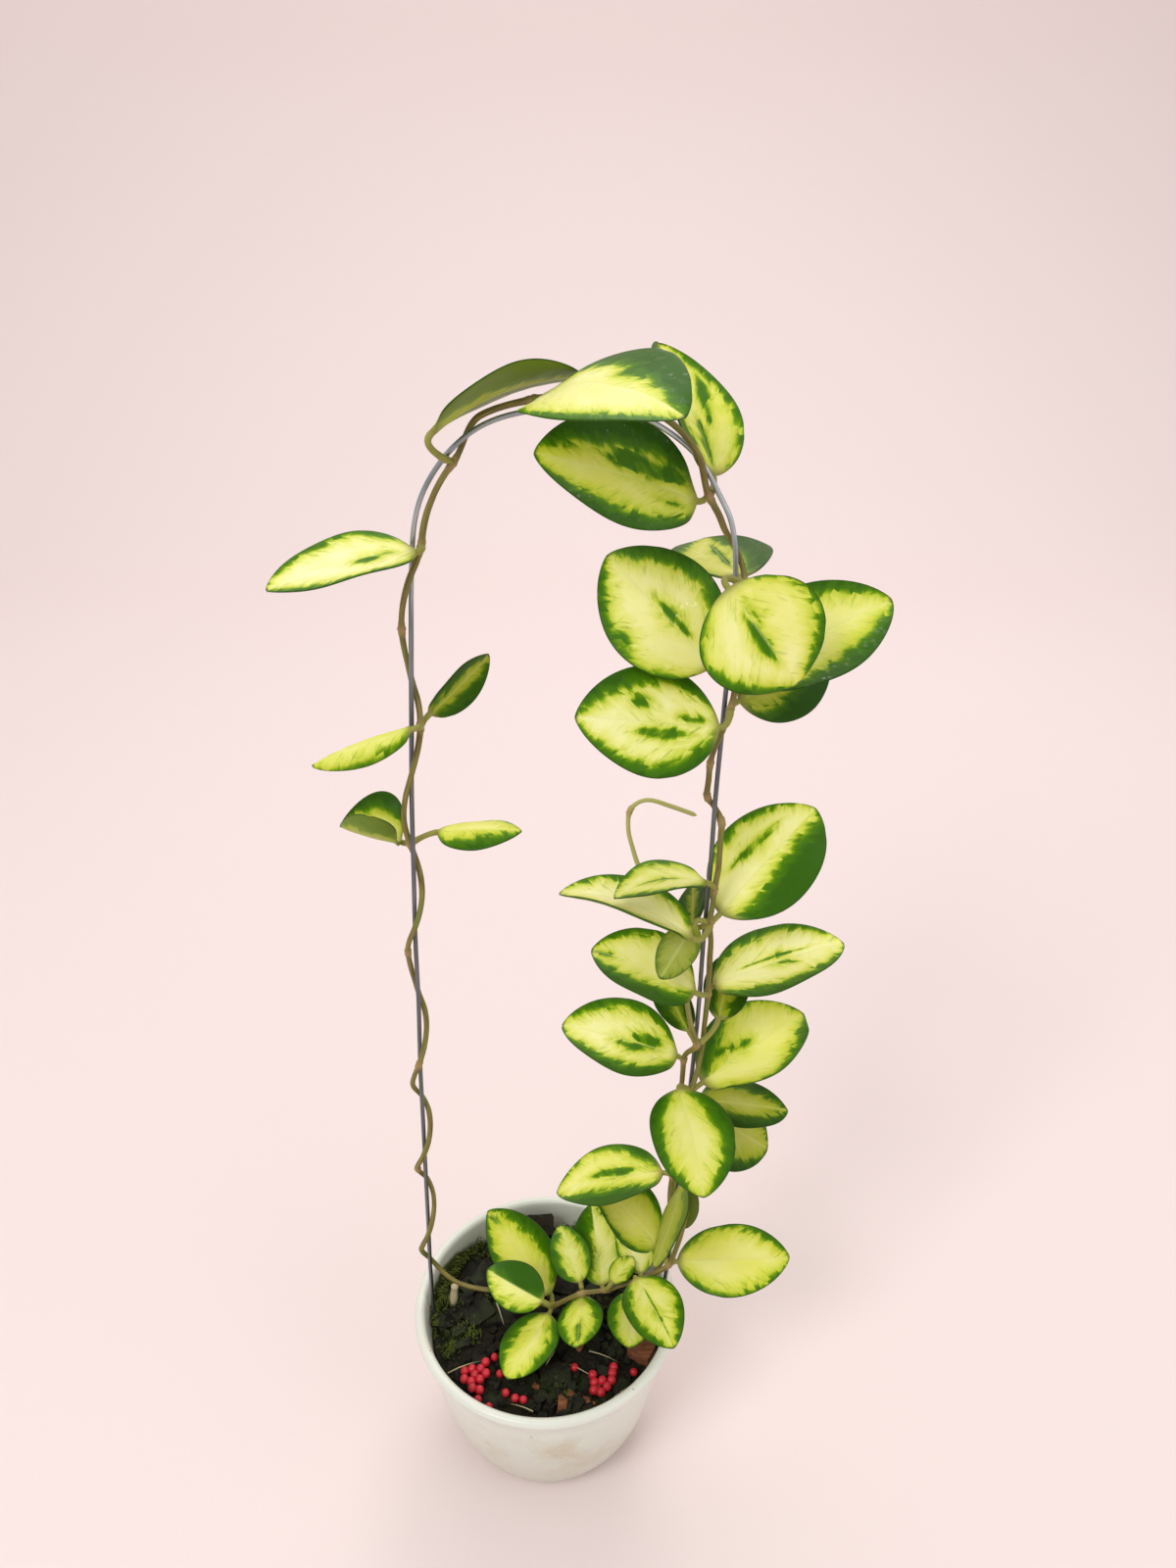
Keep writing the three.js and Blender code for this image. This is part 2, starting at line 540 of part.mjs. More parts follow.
function soilGeometry() {
  // The sides follow the inside of the pot, and the top is the lumpy surface.
  const sides = [
    [POT_BASE_RADIUS - 4.6, BASE_RECESS + POT_WALL + CLEARANCE],
    [POT_BASE_RADIUS - 0.6, 6.2],
    [POT_BASE_RADIUS + 3.9, 15],
    [POT_BASE_RADIUS + 6.9, 26],
    [POT_BASE_RADIUS + 9.4, 39],
    [POT_BASE_RADIUS + 11.1, 50.5],
  ];
  const ring = (radius, heightAt) => Array.from({ length: SOIL_SPOKES }, (_, i) => {
    const angle = (2 * Math.PI * i) / SOIL_SPOKES;
    const x = radius * Math.cos(angle);
    const y = radius * Math.sin(angle);
    return vector(x, y, heightAt(x, y));
  });
  const rings = sides.map(([radius, z]) => ring(radius, () => z));
  for (let i = 0; i < SOIL_RINGS; i += 1) {
    rings.push(ring(SOIL_EDGE * (1 - i / SOIL_RINGS), soilHeight));
  }
  let body = fuse([loft(rings), ...BARK_CHUNKS.map(barkChunk)]);

  // The feet of the wire and the root end of the vine stand in plain holes.
  const holes = [
    { points: hoopPoints.slice(0, 3), radius: WIRE_RADIUS },
    { points: hoopPoints.slice(-3).reverse(), radius: WIRE_RADIUS },
    { points: stemPoints.slice(0, 3), radius: VINE_RADIUS },
    { points: STUB_POINTS, radius: STUB_RADIUS },
  ];
  holes.forEach(({ points, radius }) => {
    const below = points[0].clone().sub(points[1]).setLength(CLEARANCE).add(points[0]);
    const way = new THREE.CatmullRomCurve3([below, ...points], false, 'catmullrom', 0.5);
    body = body.subtract(solid(rod(way, radius + HOLE_GAP, 8, 10)));
  });
  return toGeometry(body);
}

// Round feed pellets lie in heaps. Each new pellet leans on one that is already there.
const PELLET_SPACING = 2.8;
const PELLET_LIFT = 0.7;
const HEAP_EDGE = POT_BASE_RADIUS + 8.5;

function pelletHeap([x, y], count, seed) {
  const random = seededRandom(seed);
  const places = [[x, y]];
  while (places.length < count) {
    const [nearX, nearY] = places[Math.floor(random() * places.length)];
    const angle = 2 * Math.PI * random();
    const place = [nearX + PELLET_SPACING * Math.cos(angle), nearY + PELLET_SPACING * Math.sin(angle)];
    const apart = Math.min(...places.map(([px, py]) => Math.hypot(px - place[0], py - place[1])));
    if (apart > 0.95 * PELLET_SPACING && Math.hypot(...place) < HEAP_EDGE) places.push(place);
  }
  return toGeometry(fuse(places.map(([px, py]) => {
    const pellet = new THREE.SphereGeometry(PELLET_RADIUS, 7, 4);
    return pellet.translate(px, py, soilHeight(px, py) + PELLET_RADIUS + PELLET_LIFT);
  })));
}

// A husk chunk is a rough block whose corners are pushed about by a formula.
function huskGeometry() {
  const block = new THREE.BoxGeometry(...HUSK_SIZE, 2, 2, 2);
  const corners = block.attributes.position;
  for (let i = 0; i < corners.count; i += 1) {
    const [x, y, z] = [corners.getX(i), corners.getY(i), corners.getZ(i)];
    const push = 1 + 0.12 * Math.sin(2 * x + 3 * y) + 0.1 * Math.cos(3 * z - x);
    corners.setXYZ(i, x * push, y * push, z * push);
  }
  block.rotateZ(radians(HUSK_TURN));
  return toGeometry(solid(block.translate(...HUSK_PLACE)));
}

// ---------------------------------------------------------------- materials and assembly

function paint(color, roughness, metalness = 0) {
  return new THREE.MeshStandardMaterial({ color, roughness, metalness });
}

const materials = {
  plastic: paint(0xf1efea, 0.3),
  soil: paint(0x2b2119, 0.95),
  wire: paint(0x8d9296, 0.35, 1),
  stem: paint(0x7a6a2a, 0.6),
  leaf: paint(0xb9cf35, 0.35),
  pellet: paint(0xc3202e, 0.35),
  stub: paint(0xc9b98c, 0.8),
  husk: paint(0x8a5a32, 0.9),
};

const plant = new THREE.Group();

function place(name, geometry, material) {
  const mesh = new THREE.Mesh(geometry, material);
  mesh.name = name;
  plant.add(mesh);
}

place('pot', potGeometry(), materials.plastic);
place('soil', soilGeometry(), materials.soil);
place('wire_hoop', rod(hoop, WIRE_RADIUS, 8, HOOP_STEPS), materials.wire);
place('vine', vineGeometry(), materials.stem);
place('cut_stub', rod(new THREE.CatmullRomCurve3(STUB_POINTS), STUB_RADIUS, 7, 3), materials.stub);
place('husk_chunk', huskGeometry(), materials.husk);
place('pellets_left', pelletHeap([-27, -26], 11, 21), materials.pellet);
place('pellets_right', pelletHeap([25, -24], 9, 5), materials.pellet);
LEAVES.forEach((row) => place(row[0], leafGeometry(row), materials.leaf));

export default plant;
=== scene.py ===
# %% [markdown]
# # A climbing hoya on its wire hoop
# The plant is a hoya with variegated leaves. One long stem is wound round a bent wire that stands
# in a small white pot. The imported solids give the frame: where the pot, the wire, the stem and
# each leaf are. Here each of them gets its fine surface, in the same place.

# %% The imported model, loaded as the fixed frame
import math

import bpy
import numpy as np
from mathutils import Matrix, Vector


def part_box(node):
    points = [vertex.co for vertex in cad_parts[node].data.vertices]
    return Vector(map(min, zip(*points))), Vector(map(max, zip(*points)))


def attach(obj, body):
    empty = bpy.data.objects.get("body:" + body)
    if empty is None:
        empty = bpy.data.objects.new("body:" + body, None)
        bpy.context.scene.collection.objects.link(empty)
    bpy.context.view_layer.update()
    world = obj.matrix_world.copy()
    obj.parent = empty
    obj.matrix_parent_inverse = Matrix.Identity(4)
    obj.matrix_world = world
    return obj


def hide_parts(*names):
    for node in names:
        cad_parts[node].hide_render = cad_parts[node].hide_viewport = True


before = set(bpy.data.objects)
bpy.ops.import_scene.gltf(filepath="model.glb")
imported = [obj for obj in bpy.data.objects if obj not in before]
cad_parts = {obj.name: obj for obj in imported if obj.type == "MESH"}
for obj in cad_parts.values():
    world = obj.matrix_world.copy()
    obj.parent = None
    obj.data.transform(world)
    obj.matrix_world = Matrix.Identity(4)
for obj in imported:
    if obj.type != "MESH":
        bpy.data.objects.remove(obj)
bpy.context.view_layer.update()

# %% [markdown]
# ## Sizes
# The shapes are worked out in millimetres, as a grower would measure them, and turned to metres
# when they become a mesh. The few driving sizes are the same as in the solids.

# %% Driving sizes, in millimetres
MM = 0.001
POT_RIM_RADIUS = 50
POT_BASE_RADIUS = 32
POT_HEIGHT = 68
POT_WALL = 2
SOIL_LEVEL = 55
WIRE_RADIUS = 0.75
VINE_RADIUS = 0.9
SHOOT_RADIUS = 0.75
HOOP_LEAN = math.radians(5)
BLADE_THICKNESS = 1.1
STALK_RADIUS = 0.9
PELLET_RADIUS = 1.7

# %% [markdown]
# ## Small tools
# Most pieces here are a ring of points carried along a path: a pot is a ring carried up its
# profile, a stem is a ring carried along its curve, and a leaf is a ring that flattens into a
# blade. One function closes any such stack of rings into a skin, so every piece is made the
# same way, as whole arrays.

# %% Skins and pieces
def unit(vectors):
    """Each vector divided by its own length."""
    return vectors / np.linalg.norm(vectors, axis=-1, keepdims=True)


def skin(rings):
    """A closed skin over rings of points that run anticlockwise about the way forward.

    Neighbouring rings are joined by squares, and each end ring by a fan to its own middle.
    """
    rows, columns = rings.shape[:2]
    here = np.arange(columns)
    beside = (here + 1) % columns
    start = columns * np.arange(rows - 1)[:, None]
    corners = [start + here, start + beside, start + columns + beside, start + columns + here]
    squares = np.stack(corners, axis=-1).reshape(-1, 4)
    count = rows * columns
    first = np.stack([np.full(columns, count), beside, here], axis=-1)
    last = np.stack([np.full(columns, count + 1), count - columns + here, count - columns + beside], axis=-1)
    points = np.vstack([rings.reshape(-1, 3), rings[[0, -1]].mean(axis=1)])
    return points, squares.tolist() + first.tolist() + last.tolist()


def with_ends(values):
    """Values of a stack of rings as one list, with the mean of each end ring for the middles."""
    flat = values.reshape(-1, *values.shape[2:])
    return np.concatenate([flat, values[[0, -1]].mean(axis=1)])


def add_mesh(name, points, faces, material, **attributes):
    """A smooth mesh object from points in millimetres, with one attribute for each named array."""
    mesh = bpy.data.meshes.new(name)
    mesh.from_pydata((points * MM).tolist(), [], faces)
    mesh.shade_smooth()
    for key, values in attributes.items():
        vector = values.ndim == 2
        layer = mesh.attributes.new(key, "FLOAT_VECTOR" if vector else "FLOAT", "POINT")
        layer.data.foreach_set("vector" if vector else "value", values.astype(np.float32).ravel())
    mesh.materials.append(material)
    made = bpy.data.objects.new(name, mesh)
    bpy.context.scene.collection.objects.link(made)
    return made


def joined(parts):
    """Several points-and-faces pairs as one pair."""
    shifts = np.cumsum([0] + [len(points) for points, _ in parts[:-1]])
    faces = [(np.asarray(face) + shift).tolist()
             for (_, many), shift in zip(parts, shifts) for face in many]
    return np.vstack([points for points, _ in parts]), faces


def finish_piece(piece, slot, *nodes):
    """The piece stands still with the pot and stands for the nodes, which are hidden. The slot is not used.
    """
    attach(piece, "root")
    if nodes:
        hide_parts(*nodes)
    print(f"{piece.name}: {len(piece.data.polygons)} faces")


# %% Curves and rods
def through(points, places, centripetal=False):
    """Points of the smooth curve through the given points, at places counted in those points.

    Each stretch is a cubic. Its slope at a point is half the step between the neighbours, or,
    when centripetal, a slope weighed by the square roots of the distances.
    """
    p = np.asarray(points, float)
    p = np.vstack([2 * p[0] - p[1], p, 2 * p[-1] - p[-2]])
    i = np.clip(np.floor(places).astype(int), 0, len(p) - 4)
    w = (np.asarray(places) - i)[:, None]
    p0, p1, p2, p3 = (p[i + k] for k in range(4))
    if centripetal:
        d0, d1, d2 = (np.sqrt(np.linalg.norm(b - a, axis=1))[:, None]
                      for a, b in ((p0, p1), (p1, p2), (p2, p3)))
        first = ((p1 - p0) / d0 - (p2 - p0) / (d0 + d1) + (p2 - p1) / d1) * d1
        second = ((p2 - p1) / d1 - (p3 - p1) / (d1 + d2) + (p3 - p2) / d2) * d1
    else:
        first, second = (p2 - p0) / 2, (p3 - p1) / 2
    return (p1 + first * w + (3 * (p2 - p1) - 2 * first - second) * w ** 2
            + (2 * (p1 - p2) + first + second) * w ** 3)


def even_steps(curve, spacing):
    """The same curve with its points an equal distance apart, and the place of each along it."""
    lengths = np.concatenate([[0], np.cumsum(np.linalg.norm(np.diff(curve, axis=0), axis=1))])
    count = int(lengths[-1] / spacing) + 1
    wanted = np.linspace(0, lengths[-1], count)
    even = np.stack([np.interp(wanted, lengths, curve[:, k]) for k in range(3)], axis=1)
    return even, wanted, np.interp(wanted, lengths, np.arange(len(curve)))


def round_rings(middles, radii, sides, reference):
    """Rings round a path: middle + radius (cos a side + sin a top), with side square to reference."""
    forward = unit(np.gradient(middles, axis=0))
    side = unit(np.cross(np.asarray(reference, float), forward))
    top = np.cross(forward, side)
    angle = 2 * np.pi * np.arange(sides) / sides
    radii = np.broadcast_to(np.asarray(radii, float).reshape(-1, 1), (len(middles), sides))[..., None]
    spokes = np.cos(angle)[:, None] * side[:, None] + np.sin(angle)[:, None] * top[:, None]
    return middles[:, None] + radii * spokes


def rod_place(lengths, round_it):
    """Of each point on a rod: the length along it and the length round it, in millimetres."""
    along_it, round_it = np.broadcast_arrays(lengths[:, None], round_it)
    return np.stack([along_it, round_it, 0 * round_it], axis=-1)


# %% [markdown]
# ## Colours and material nodes
# Colours are written as the sRGB hex values that a paint chart would give, and turned to linear
# light by one function. One more function adds a shader node with its settings and links.

# %% Colour and node helpers
def linear(hex_colour):
    """An sRGB hex colour as linear red, green, blue and alpha."""
    parts = [int(hex_colour[i:i + 2], 16) / 255 for i in (1, 3, 5)]
    return [c / 12.92 if c <= 0.04045 else ((c + 0.055) / 1.055) ** 2.4 for c in parts] + [1.0]


def add(tree, kind, *values, out=0, stops=(), **settings):
    """One shader node with its settings and links, and the output that is asked for.

    Values fill its inputs in order, or one dictionary says which input gets which value. A value
    is a number, a vector, an sRGB hex colour or another node's output. Stops fill a colour ramp.
    A texture's Scale is how many patterns fit in a metre, or in a millimetre where the place it
    gets is in millimetres. A place multiplied by a vector draws the patterns out along an axis.
    """
    made = tree.nodes.new("ShaderNode" + kind)
    for key, value in settings.items():
        setattr(made, key, value)
    chosen = values[0] if values and isinstance(values[0], dict) else dict(enumerate(values))
    for key, value in chosen.items():
        if isinstance(value, bpy.types.NodeSocket):
            tree.links.new(value, made.inputs[key])
        else:
            made.inputs[key].default_value = linear(value) if isinstance(value, str) else value
    if stops:
        elements = made.color_ramp.elements
        while len(elements) < len(stops):
            elements.new(0.5)
        for element, (place, colour) in zip(elements, stops):
            element.position = place
            element.color = linear(colour)
    return made.outputs[out]


def new_material(name, **values):
    """An empty material with its Principled shader, whose plain sockets are set by name."""
    material = bpy.data.materials.new(name)
    material.use_nodes = True
    shader = material.node_tree.nodes["Principled BSDF"]
    for key, value in values.items():
        shader.inputs[key.replace("_", " ")].default_value = value
    print("material:", name)
    return material, material.node_tree, shader


# Settings of a Mix node that mixes two colours, at its inputs 6 and 7, by the share at input 0.
BLEND = {"data_type": "RGBA", "out": 2}

# %% [markdown]
# ## Camera, light and the pale stage
# The photograph looks down on the pot from in front and above, with a wide lens close by, so
# the pot looks larger than the top of the hoop. The same place and lens are used here. The
# light is soft studio light: a key box in front and above, a fill box at the side, a box behind
# the plant, one that lights the backdrop, and a bright surround.

# %% Camera
CAMERA_PLACE = (16, -298, 477)
CAMERA_PITCH = math.radians(31)
LENS, SENSOR_WIDTH = 28, 36
camera_data = bpy.data.cameras.new("photo_camera")
camera_data.lens = LENS
camera_data.sensor_width = SENSOR_WIDTH
camera = bpy.data.objects.new("photo_camera", camera_data)
camera.location = [value * MM for value in CAMERA_PLACE]
camera.rotation_euler = (math.pi / 2 - CAMERA_PITCH, 0, 0)
bpy.context.scene.collection.objects.link(camera)
bpy.context.scene.camera = camera
print("camera in metres:", list(camera.location))

# %% Soft lights
def soft_box(name, place, size, power, aim=(0, 0, 0.2)):
    """A square white area light at a place in metres that faces its aim, or else the plant."""
    data = bpy.data.lights.new(name, "AREA")
    data.size = size
    data.energy = power
    box = bpy.data.objects.new(name, data)
    box.location = place
    ray = np.array(aim) - np.array(place)
    tilt = math.acos(-ray[2] / np.linalg.norm(ray))
    box.rotation_euler = (tilt, 0, math.atan2(ray[1], ray[0]) - math.pi / 2)
    bpy.context.scene.collection.objects.link(box)
    print(f"{name}: {power} W from {size} m")


soft_box("key_light", (-0.55, -0.75, 1.25), 0.5, 7.5)
soft_box("fill_light", (0.95, -0.5, 0.75), 0.8, 2)
soft_box("back_light", (0.25, 0.85, 1.15), 0.6, 3)
soft_box("backdrop_light", (0, 1.0, 1.9), 1.2, 7, aim=(0, 1.6, 0.2))

SURROUND_STRENGTH = 0.63
world = bpy.data.worlds.new("studio")
world.use_nodes = True
surround = world.node_tree.nodes["Background"]
surround.inputs[0].default_value = linear("#ffffff")
surround.inputs[1].default_value = SURROUND_STRENGTH
bpy.context.scene.world = world
bpy.context.scene.view_settings.view_transform = "Standard"

# %% A pale floor that sweeps up behind
FLOOR_HALF = 2200
SWEEP_START = 900
SWEEP_RADIUS = 500
WALL_HEIGHT = 2600

paper, tree, shader = new_material("matt paper", Roughness=0.9)
place = add(tree, "TexCoord", out="Object")
fibre = add(tree, "TexNoise", {"Vector": place, "Scale": 900, "Detail": 2, "Roughness": 0.55})
colour = add(tree, "Mix", {0: fibre, 6: "#efe0dd", 7: "#ecdcd9"}, **BLEND)
tree.links.new(colour, shader.inputs["Base Color"])

turn = np.linspace(0, np.pi / 2, 24)
sweep_y = np.concatenate([[-FLOOR_HALF], SWEEP_START + SWEEP_RADIUS * np.sin(turn),
                          [SWEEP_START + SWEEP_RADIUS]])
sweep_z = np.concatenate([[0], SWEEP_RADIUS * (1 - np.cos(turn)), [WALL_HEIGHT]])
sweep = np.stack([np.stack([np.full_like(sweep_y, side), sweep_y, sweep_z], axis=1)
                  for side in (-FLOOR_HALF, FLOOR_HALF)], axis=1)
steps = 2 * np.arange(len(sweep_y) - 1)[:, None]
floor = add_mesh("floor", sweep.reshape(-1, 3), (steps + [0, 1, 3, 2]).tolist(), paper)
print(f"{floor.name}: {len(floor.data.polygons)} faces")

# %% [markdown]
# ## The pot
# A small nursery pot is one thin moulding of white polypropylene. Its mould is smooth, so the
# wall is glossy, and its lip is rolled thick to be stiff and blunt. It could be spun
# with a Screw modifier. Here the profile is a smooth curve and the rings are worked out
# directly, so that the stains can be placed by height. Its holes are cut with a Boolean.

# %% Pot plastic
# White polypropylene, injection moulded: smooth and faintly glossy, with beige water stains low
# down, olive algae on the inside just above the soil, and painted shade that greys it low down.
plastic, tree, shader = new_material("moulded polypropylene", Roughness=0.26, IOR=1.49,
                                     Subsurface_Weight=0.12, Subsurface_Scale=2 * MM)
place = add(tree, "TexCoord", out="Object")
stain_cloud = add(tree, "TexNoise", {"Vector": place, "Scale": 34, "Detail": 5, "Roughness": 0.62})
speck_cloud = add(tree, "TexNoise", {"Vector": place, "Scale": 420, "Detail": 2, "Roughness": 0.55})
algae_cloud = add(tree, "TexNoise", {"Vector": place, "Scale": 160, "Detail": 5, "Roughness": 0.7})
algae_hue = add(tree, "TexNoise", {"Vector": place, "Scale": 90, "Detail": 3, "Roughness": 0.55})
skin_cloud = add(tree, "TexNoise", {"Vector": place, "Scale": 300, "Detail": 2, "Roughness": 0.55})
grime = add(tree, "Attribute", attribute_name="grime", out="Fac")
stain_band = add(tree, "Attribute", attribute_name="stain", out="Fac")

# The white is painted greyer low down: painted shade that deepens towards the base, a little unevenly.
height = add(tree, "SeparateXYZ", place, out=2)
painted_shade_low = add(tree, "MapRange", height, 56 * MM, 4 * MM)
uneven = add(tree, "MapRange", stain_cloud, 0.2, 0.7, 0.7, 1.0)
wear_and_painted_shade = add(tree, "Math", painted_shade_low, uneven, operation="MULTIPLY")
wear_and_painted_shade = add(tree, "Math", wear_and_painted_shade, 0.65, operation="MULTIPLY")
white = add(tree, "Mix", {0: wear_and_painted_shade, 6: "#e2e4d8", 7: "#b3ab95"}, **BLEND)

# Water has left beige stains in a band, with small brown specks in them.
stain = add(tree, "Math", add(tree, "MapRange", stain_cloud, 0.5, 0.68), stain_band, operation="MULTIPLY")
stain = add(tree, "Math", stain, 0.75, operation="MULTIPLY")
colour = add(tree, "Mix", {0: stain, 6: white, 7: "#c2ab80"}, **BLEND)
speck = add(tree, "Math", add(tree, "MapRange", speck_cloud, 0.7, 0.74),
            add(tree, "MapRange", stain_cloud, 0.52, 0.6), operation="MULTIPLY")
speck = add(tree, "Math", speck, 0.7, operation="MULTIPLY")
colour = add(tree, "Mix", {0: speck, 6: colour, 7: "#7a6a55"}, **BLEND)

# A film of algae has a torn upper edge, and is duller than the plastic.
torn = add(tree, "Math", algae_cloud, 1.2, -0.6, operation="MULTIPLY_ADD")
film = add(tree, "MapRange", add(tree, "Math", grime, torn, operation="ADD"), 0.35, 0.8)
film_colour = add(tree, "Mix", {0: algae_hue, 6: "#2f3410", 7: "#5f6a1e"}, **BLEND)
colour = add(tree, "Mix", {0: film, 6: colour, 7: film_colour}, **BLEND)
tree.links.new(colour, shader.inputs["Base Color"])
gloss = add(tree, "Math", film, 0.5, 0.26, operation="MULTIPLY_ADD")
tree.links.new(gloss, shader.inputs["Roughness"])
dimple = add(tree, "Bump", {"Height": skin_cloud, "Strength": 0.06, "Distance": 0.2 * MM})
tree.links.new(dimple, shader.inputs["Normal"])

# %% Pot body
POT_SIDES, DRILL_SIDES = 160, 32
DRAIN_HOLES, DRAIN_RADIUS, DRAIN_CIRCLE, BASE_RECESS = 6, 3, 19, 1.5
UNDERSIDE = [(12, 0), (13.5, BASE_RECESS), (24.5, BASE_RECESS), (26, 0)]
WALL = [
    (POT_BASE_RADIUS - 3, 0), (POT_BASE_RADIUS - 0.5, 1.5), (POT_BASE_RADIUS + 2.5, 6),
    (POT_BASE_RADIUS + 6.5, 15), (POT_BASE_RADIUS + 9.5, 26), (POT_BASE_RADIUS + 12, 39),
    (POT_BASE_RADIUS + 13.8, 51), (POT_BASE_RADIUS + 15.2, 59), (POT_RIM_RADIUS - 0.8, 64),
    (POT_RIM_RADIUS, 66.2), (POT_RIM_RADIUS - 0.9, 67.8), (POT_RIM_RADIUS - 2.3, POT_HEIGHT),
    (POT_RIM_RADIUS - 3.6, 67.2), (POT_RIM_RADIUS - 4.4, 64), (POT_BASE_RADIUS + 13, 57),
    (POT_BASE_RADIUS + 11.8, 51), (POT_BASE_RADIUS + 10, 39), (POT_BASE_RADIUS + 7.5, 26),
    (POT_BASE_RADIUS + 4.5, 15), (POT_BASE_RADIUS, 6), (POT_BASE_RADIUS - 4, BASE_RECESS + POT_WALL),
]


def lathed(profile, sides):
    """Rings about the Z axis, one for each radius and height."""
    angle = 2 * np.pi * np.arange(sides) / sides
    radius, height = profile[:, 0, None], profile[:, 1, None]
    return np.stack([radius * np.cos(angle), radius * np.sin(angle), height + 0 * angle], axis=-1)


flat_wall = np.array([(r, 0, z) for r, z in WALL], float)
wall_places = np.linspace(0, len(WALL) - 1, 6 * len(WALL))
wall_curve = through(flat_wall, wall_places, centripetal=True)[:, [0, 2]]
pot_points, pot_faces = skin(lathed(np.vstack([np.array(UNDERSIDE, float), wall_curve]), POT_SIDES))


def closeness(value, middle, width):
    """1 at the middle and falling to 0 away from it, as exp(-(distance / width)^2)."""
    return np.exp(-((value - middle) / width) ** 2)


pot_radius = np.hypot(pot_points[:, 0], pot_points[:, 1])
pot_angle = np.arctan2(pot_points[:, 1], pot_points[:, 0])
outer_wall = np.array(WALL[2:9], float)
inside = pot_radius < np.interp(pot_points[:, 2], outer_wall[:, 1], outer_wall[:, 0] - POT_WALL / 2)
# The algae stand highest at the left, and there are some at the back. The stains lie half way up.
film_height = SOIL_LEVEL + 5 + 4 * closeness(pot_angle, math.radians(168), 0.5) + 3 * np.sin(3 * pot_angle)
grime_share = np.where(inside, np.clip((film_height - pot_points[:, 2]) / 6, 0, 1), 0)
at_left, at_back = closeness(pot_angle, math.radians(150), 0.7), closeness(pot_angle, math.radians(62), 0.45)
grime_share *= 0.25 + 0.75 * (at_left + at_back)
stain_share = np.where(inside, 0.3, closeness(pot_points[:, 2], 38, 14))
pot = add_mesh("white_pot", pot_points, pot_faces, plastic, grime=grime_share, stain=stain_share)

drill_rings = lathed(np.array([(DRAIN_RADIUS, -2), (DRAIN_RADIUS, 6)], float), DRILL_SIDES)
drill_angles = 2 * np.pi * (np.arange(DRAIN_HOLES) + 0.5) / DRAIN_HOLES
drill_places = DRAIN_CIRCLE * np.stack([np.cos(drill_angles), np.sin(drill_angles), 0 * drill_angles], axis=1)
drill = add_mesh("drill", *joined([skin(drill_rings + place) for place in drill_places]), plastic)
cut = pot.modifiers.new("drain holes", "BOOLEAN")
cut.object = drill
cut.operation = "DIFFERENCE"
cut.solver = "EXACT"
bpy.context.view_layer.update()
pot.data = bpy.data.meshes.new_from_object(pot.evaluated_get(bpy.context.evaluated_depsgraph_get()))
pot.modifiers.clear()
bpy.data.objects.remove(drill)
finish_piece(pot, "pot", "pot")

# %% [markdown]
# ## The soil
# The pot holds orchid bark: dark, wet, angular chips of many sizes, with a large block at the
# back. Each chip is a cube with split sides whose points are pushed about by a seeded draw. A
# particle system could scatter them, but joined arrays keep every chip in one mesh.

# %% Bark, wet and nearly black
# Composted pine bark, torn: rough and matt, with dark cracks about 1.5 mm apart, patches of
# brown and green of about 10 mm, and a damp glint here and there.
bark, tree, shader = new_material("composted bark", Specular_IOR_Level=0.25)
place = add(tree, "TexCoord", out="Object")
upright = add(tree, "VectorMath", place, (1, 1, 0.4), operation="MULTIPLY")
grain = add(tree, "TexNoise", {"Vector": upright, "Scale": 700, "Detail": 6, "Roughness": 0.65})
patches = add(tree, "TexNoise", {"Vector": place, "Scale": 95, "Detail": 3, "Roughness": 0.55})
colour = add(tree, "ValToRGB", grain, stops=[(0.3, "#090906"), (0.55, "#1d1b10"), (0.8, "#48412c")])
colour = add(tree, "Mix", {0: add(tree, "MapRange", patches, 0.55, 0.7), 6: colour, 7: "#2a2416"}, **BLEND)
colour = add(tree, "Mix", {0: add(tree, "MapRange", patches, 0.48, 0.38), 6: colour, 7: "#232b10"}, **BLEND)
tree.links.new(colour, shader.inputs["Base Color"])
damp = add(tree, "MapRange", patches, 0.35, 0.6, 0.5, 0.95)
tree.links.new(damp, shader.inputs["Roughness"])
cracks = add(tree, "Bump", {"Height": grain, "Strength": 0.7, "Distance": 0.6 * MM})
tree.links.new(cracks, shader.inputs["Normal"])


# %% Soil body and bark chips
def soil_height(x, y):
    """Height of the lumpy top: two waves that cross each other, about the soil's level."""
    return SOIL_LEVEL + 0.9 * np.sin(x / 6 + 1) * np.cos(y / 7) + 0.6 * np.sin(x / 3.1 + y / 4.3)


# A chip is [x, y, height above the soil, length, width, turn, tilt], as in the solids.
BARK_CHUNKS = [
    [-6, 35, 13.5, 16, 10, 8, 6], [-14, 32, 3, 13, 8, 30, 8], [15, 32, 3, 12, 8, -25, 10],
    [-26, 20, 2.5, 12, 8, 60, 12], [24, 21, 2.5, 11, 8, -50, 10], [-10, 15, 3, 14, 9, 15, 10],
    [8, 16, 2.5, 13, 8, -15, 12], [-27, 3, 2.5, 12, 8, 40, 9], [-6, -4, 2, 13, 9, 70, 8],
    [4, -22, 2, 12, 8, 10, 8], [8, -36, 1.6, 9, 6, 85, 7],
]
SOIL_SIDES = [(POT_BASE_RADIUS - 4.6, 3.8), (POT_BASE_RADIUS - 0.6, 6.2), (POT_BASE_RADIUS + 3.9, 15),
              (POT_BASE_RADIUS + 6.9, 26), (POT_BASE_RADIUS + 9.4, 39), (POT_BASE_RADIUS + 11.1, 50.5)]
SOIL_EDGE = POT_BASE_RADIUS + 11.7
SMALL_CHIPS, SMALL_CHIP_REACH = 330, 41
SOIL_RINGS, SOIL_CORNERS = 30, 96
CHUNK_ROOT = 6


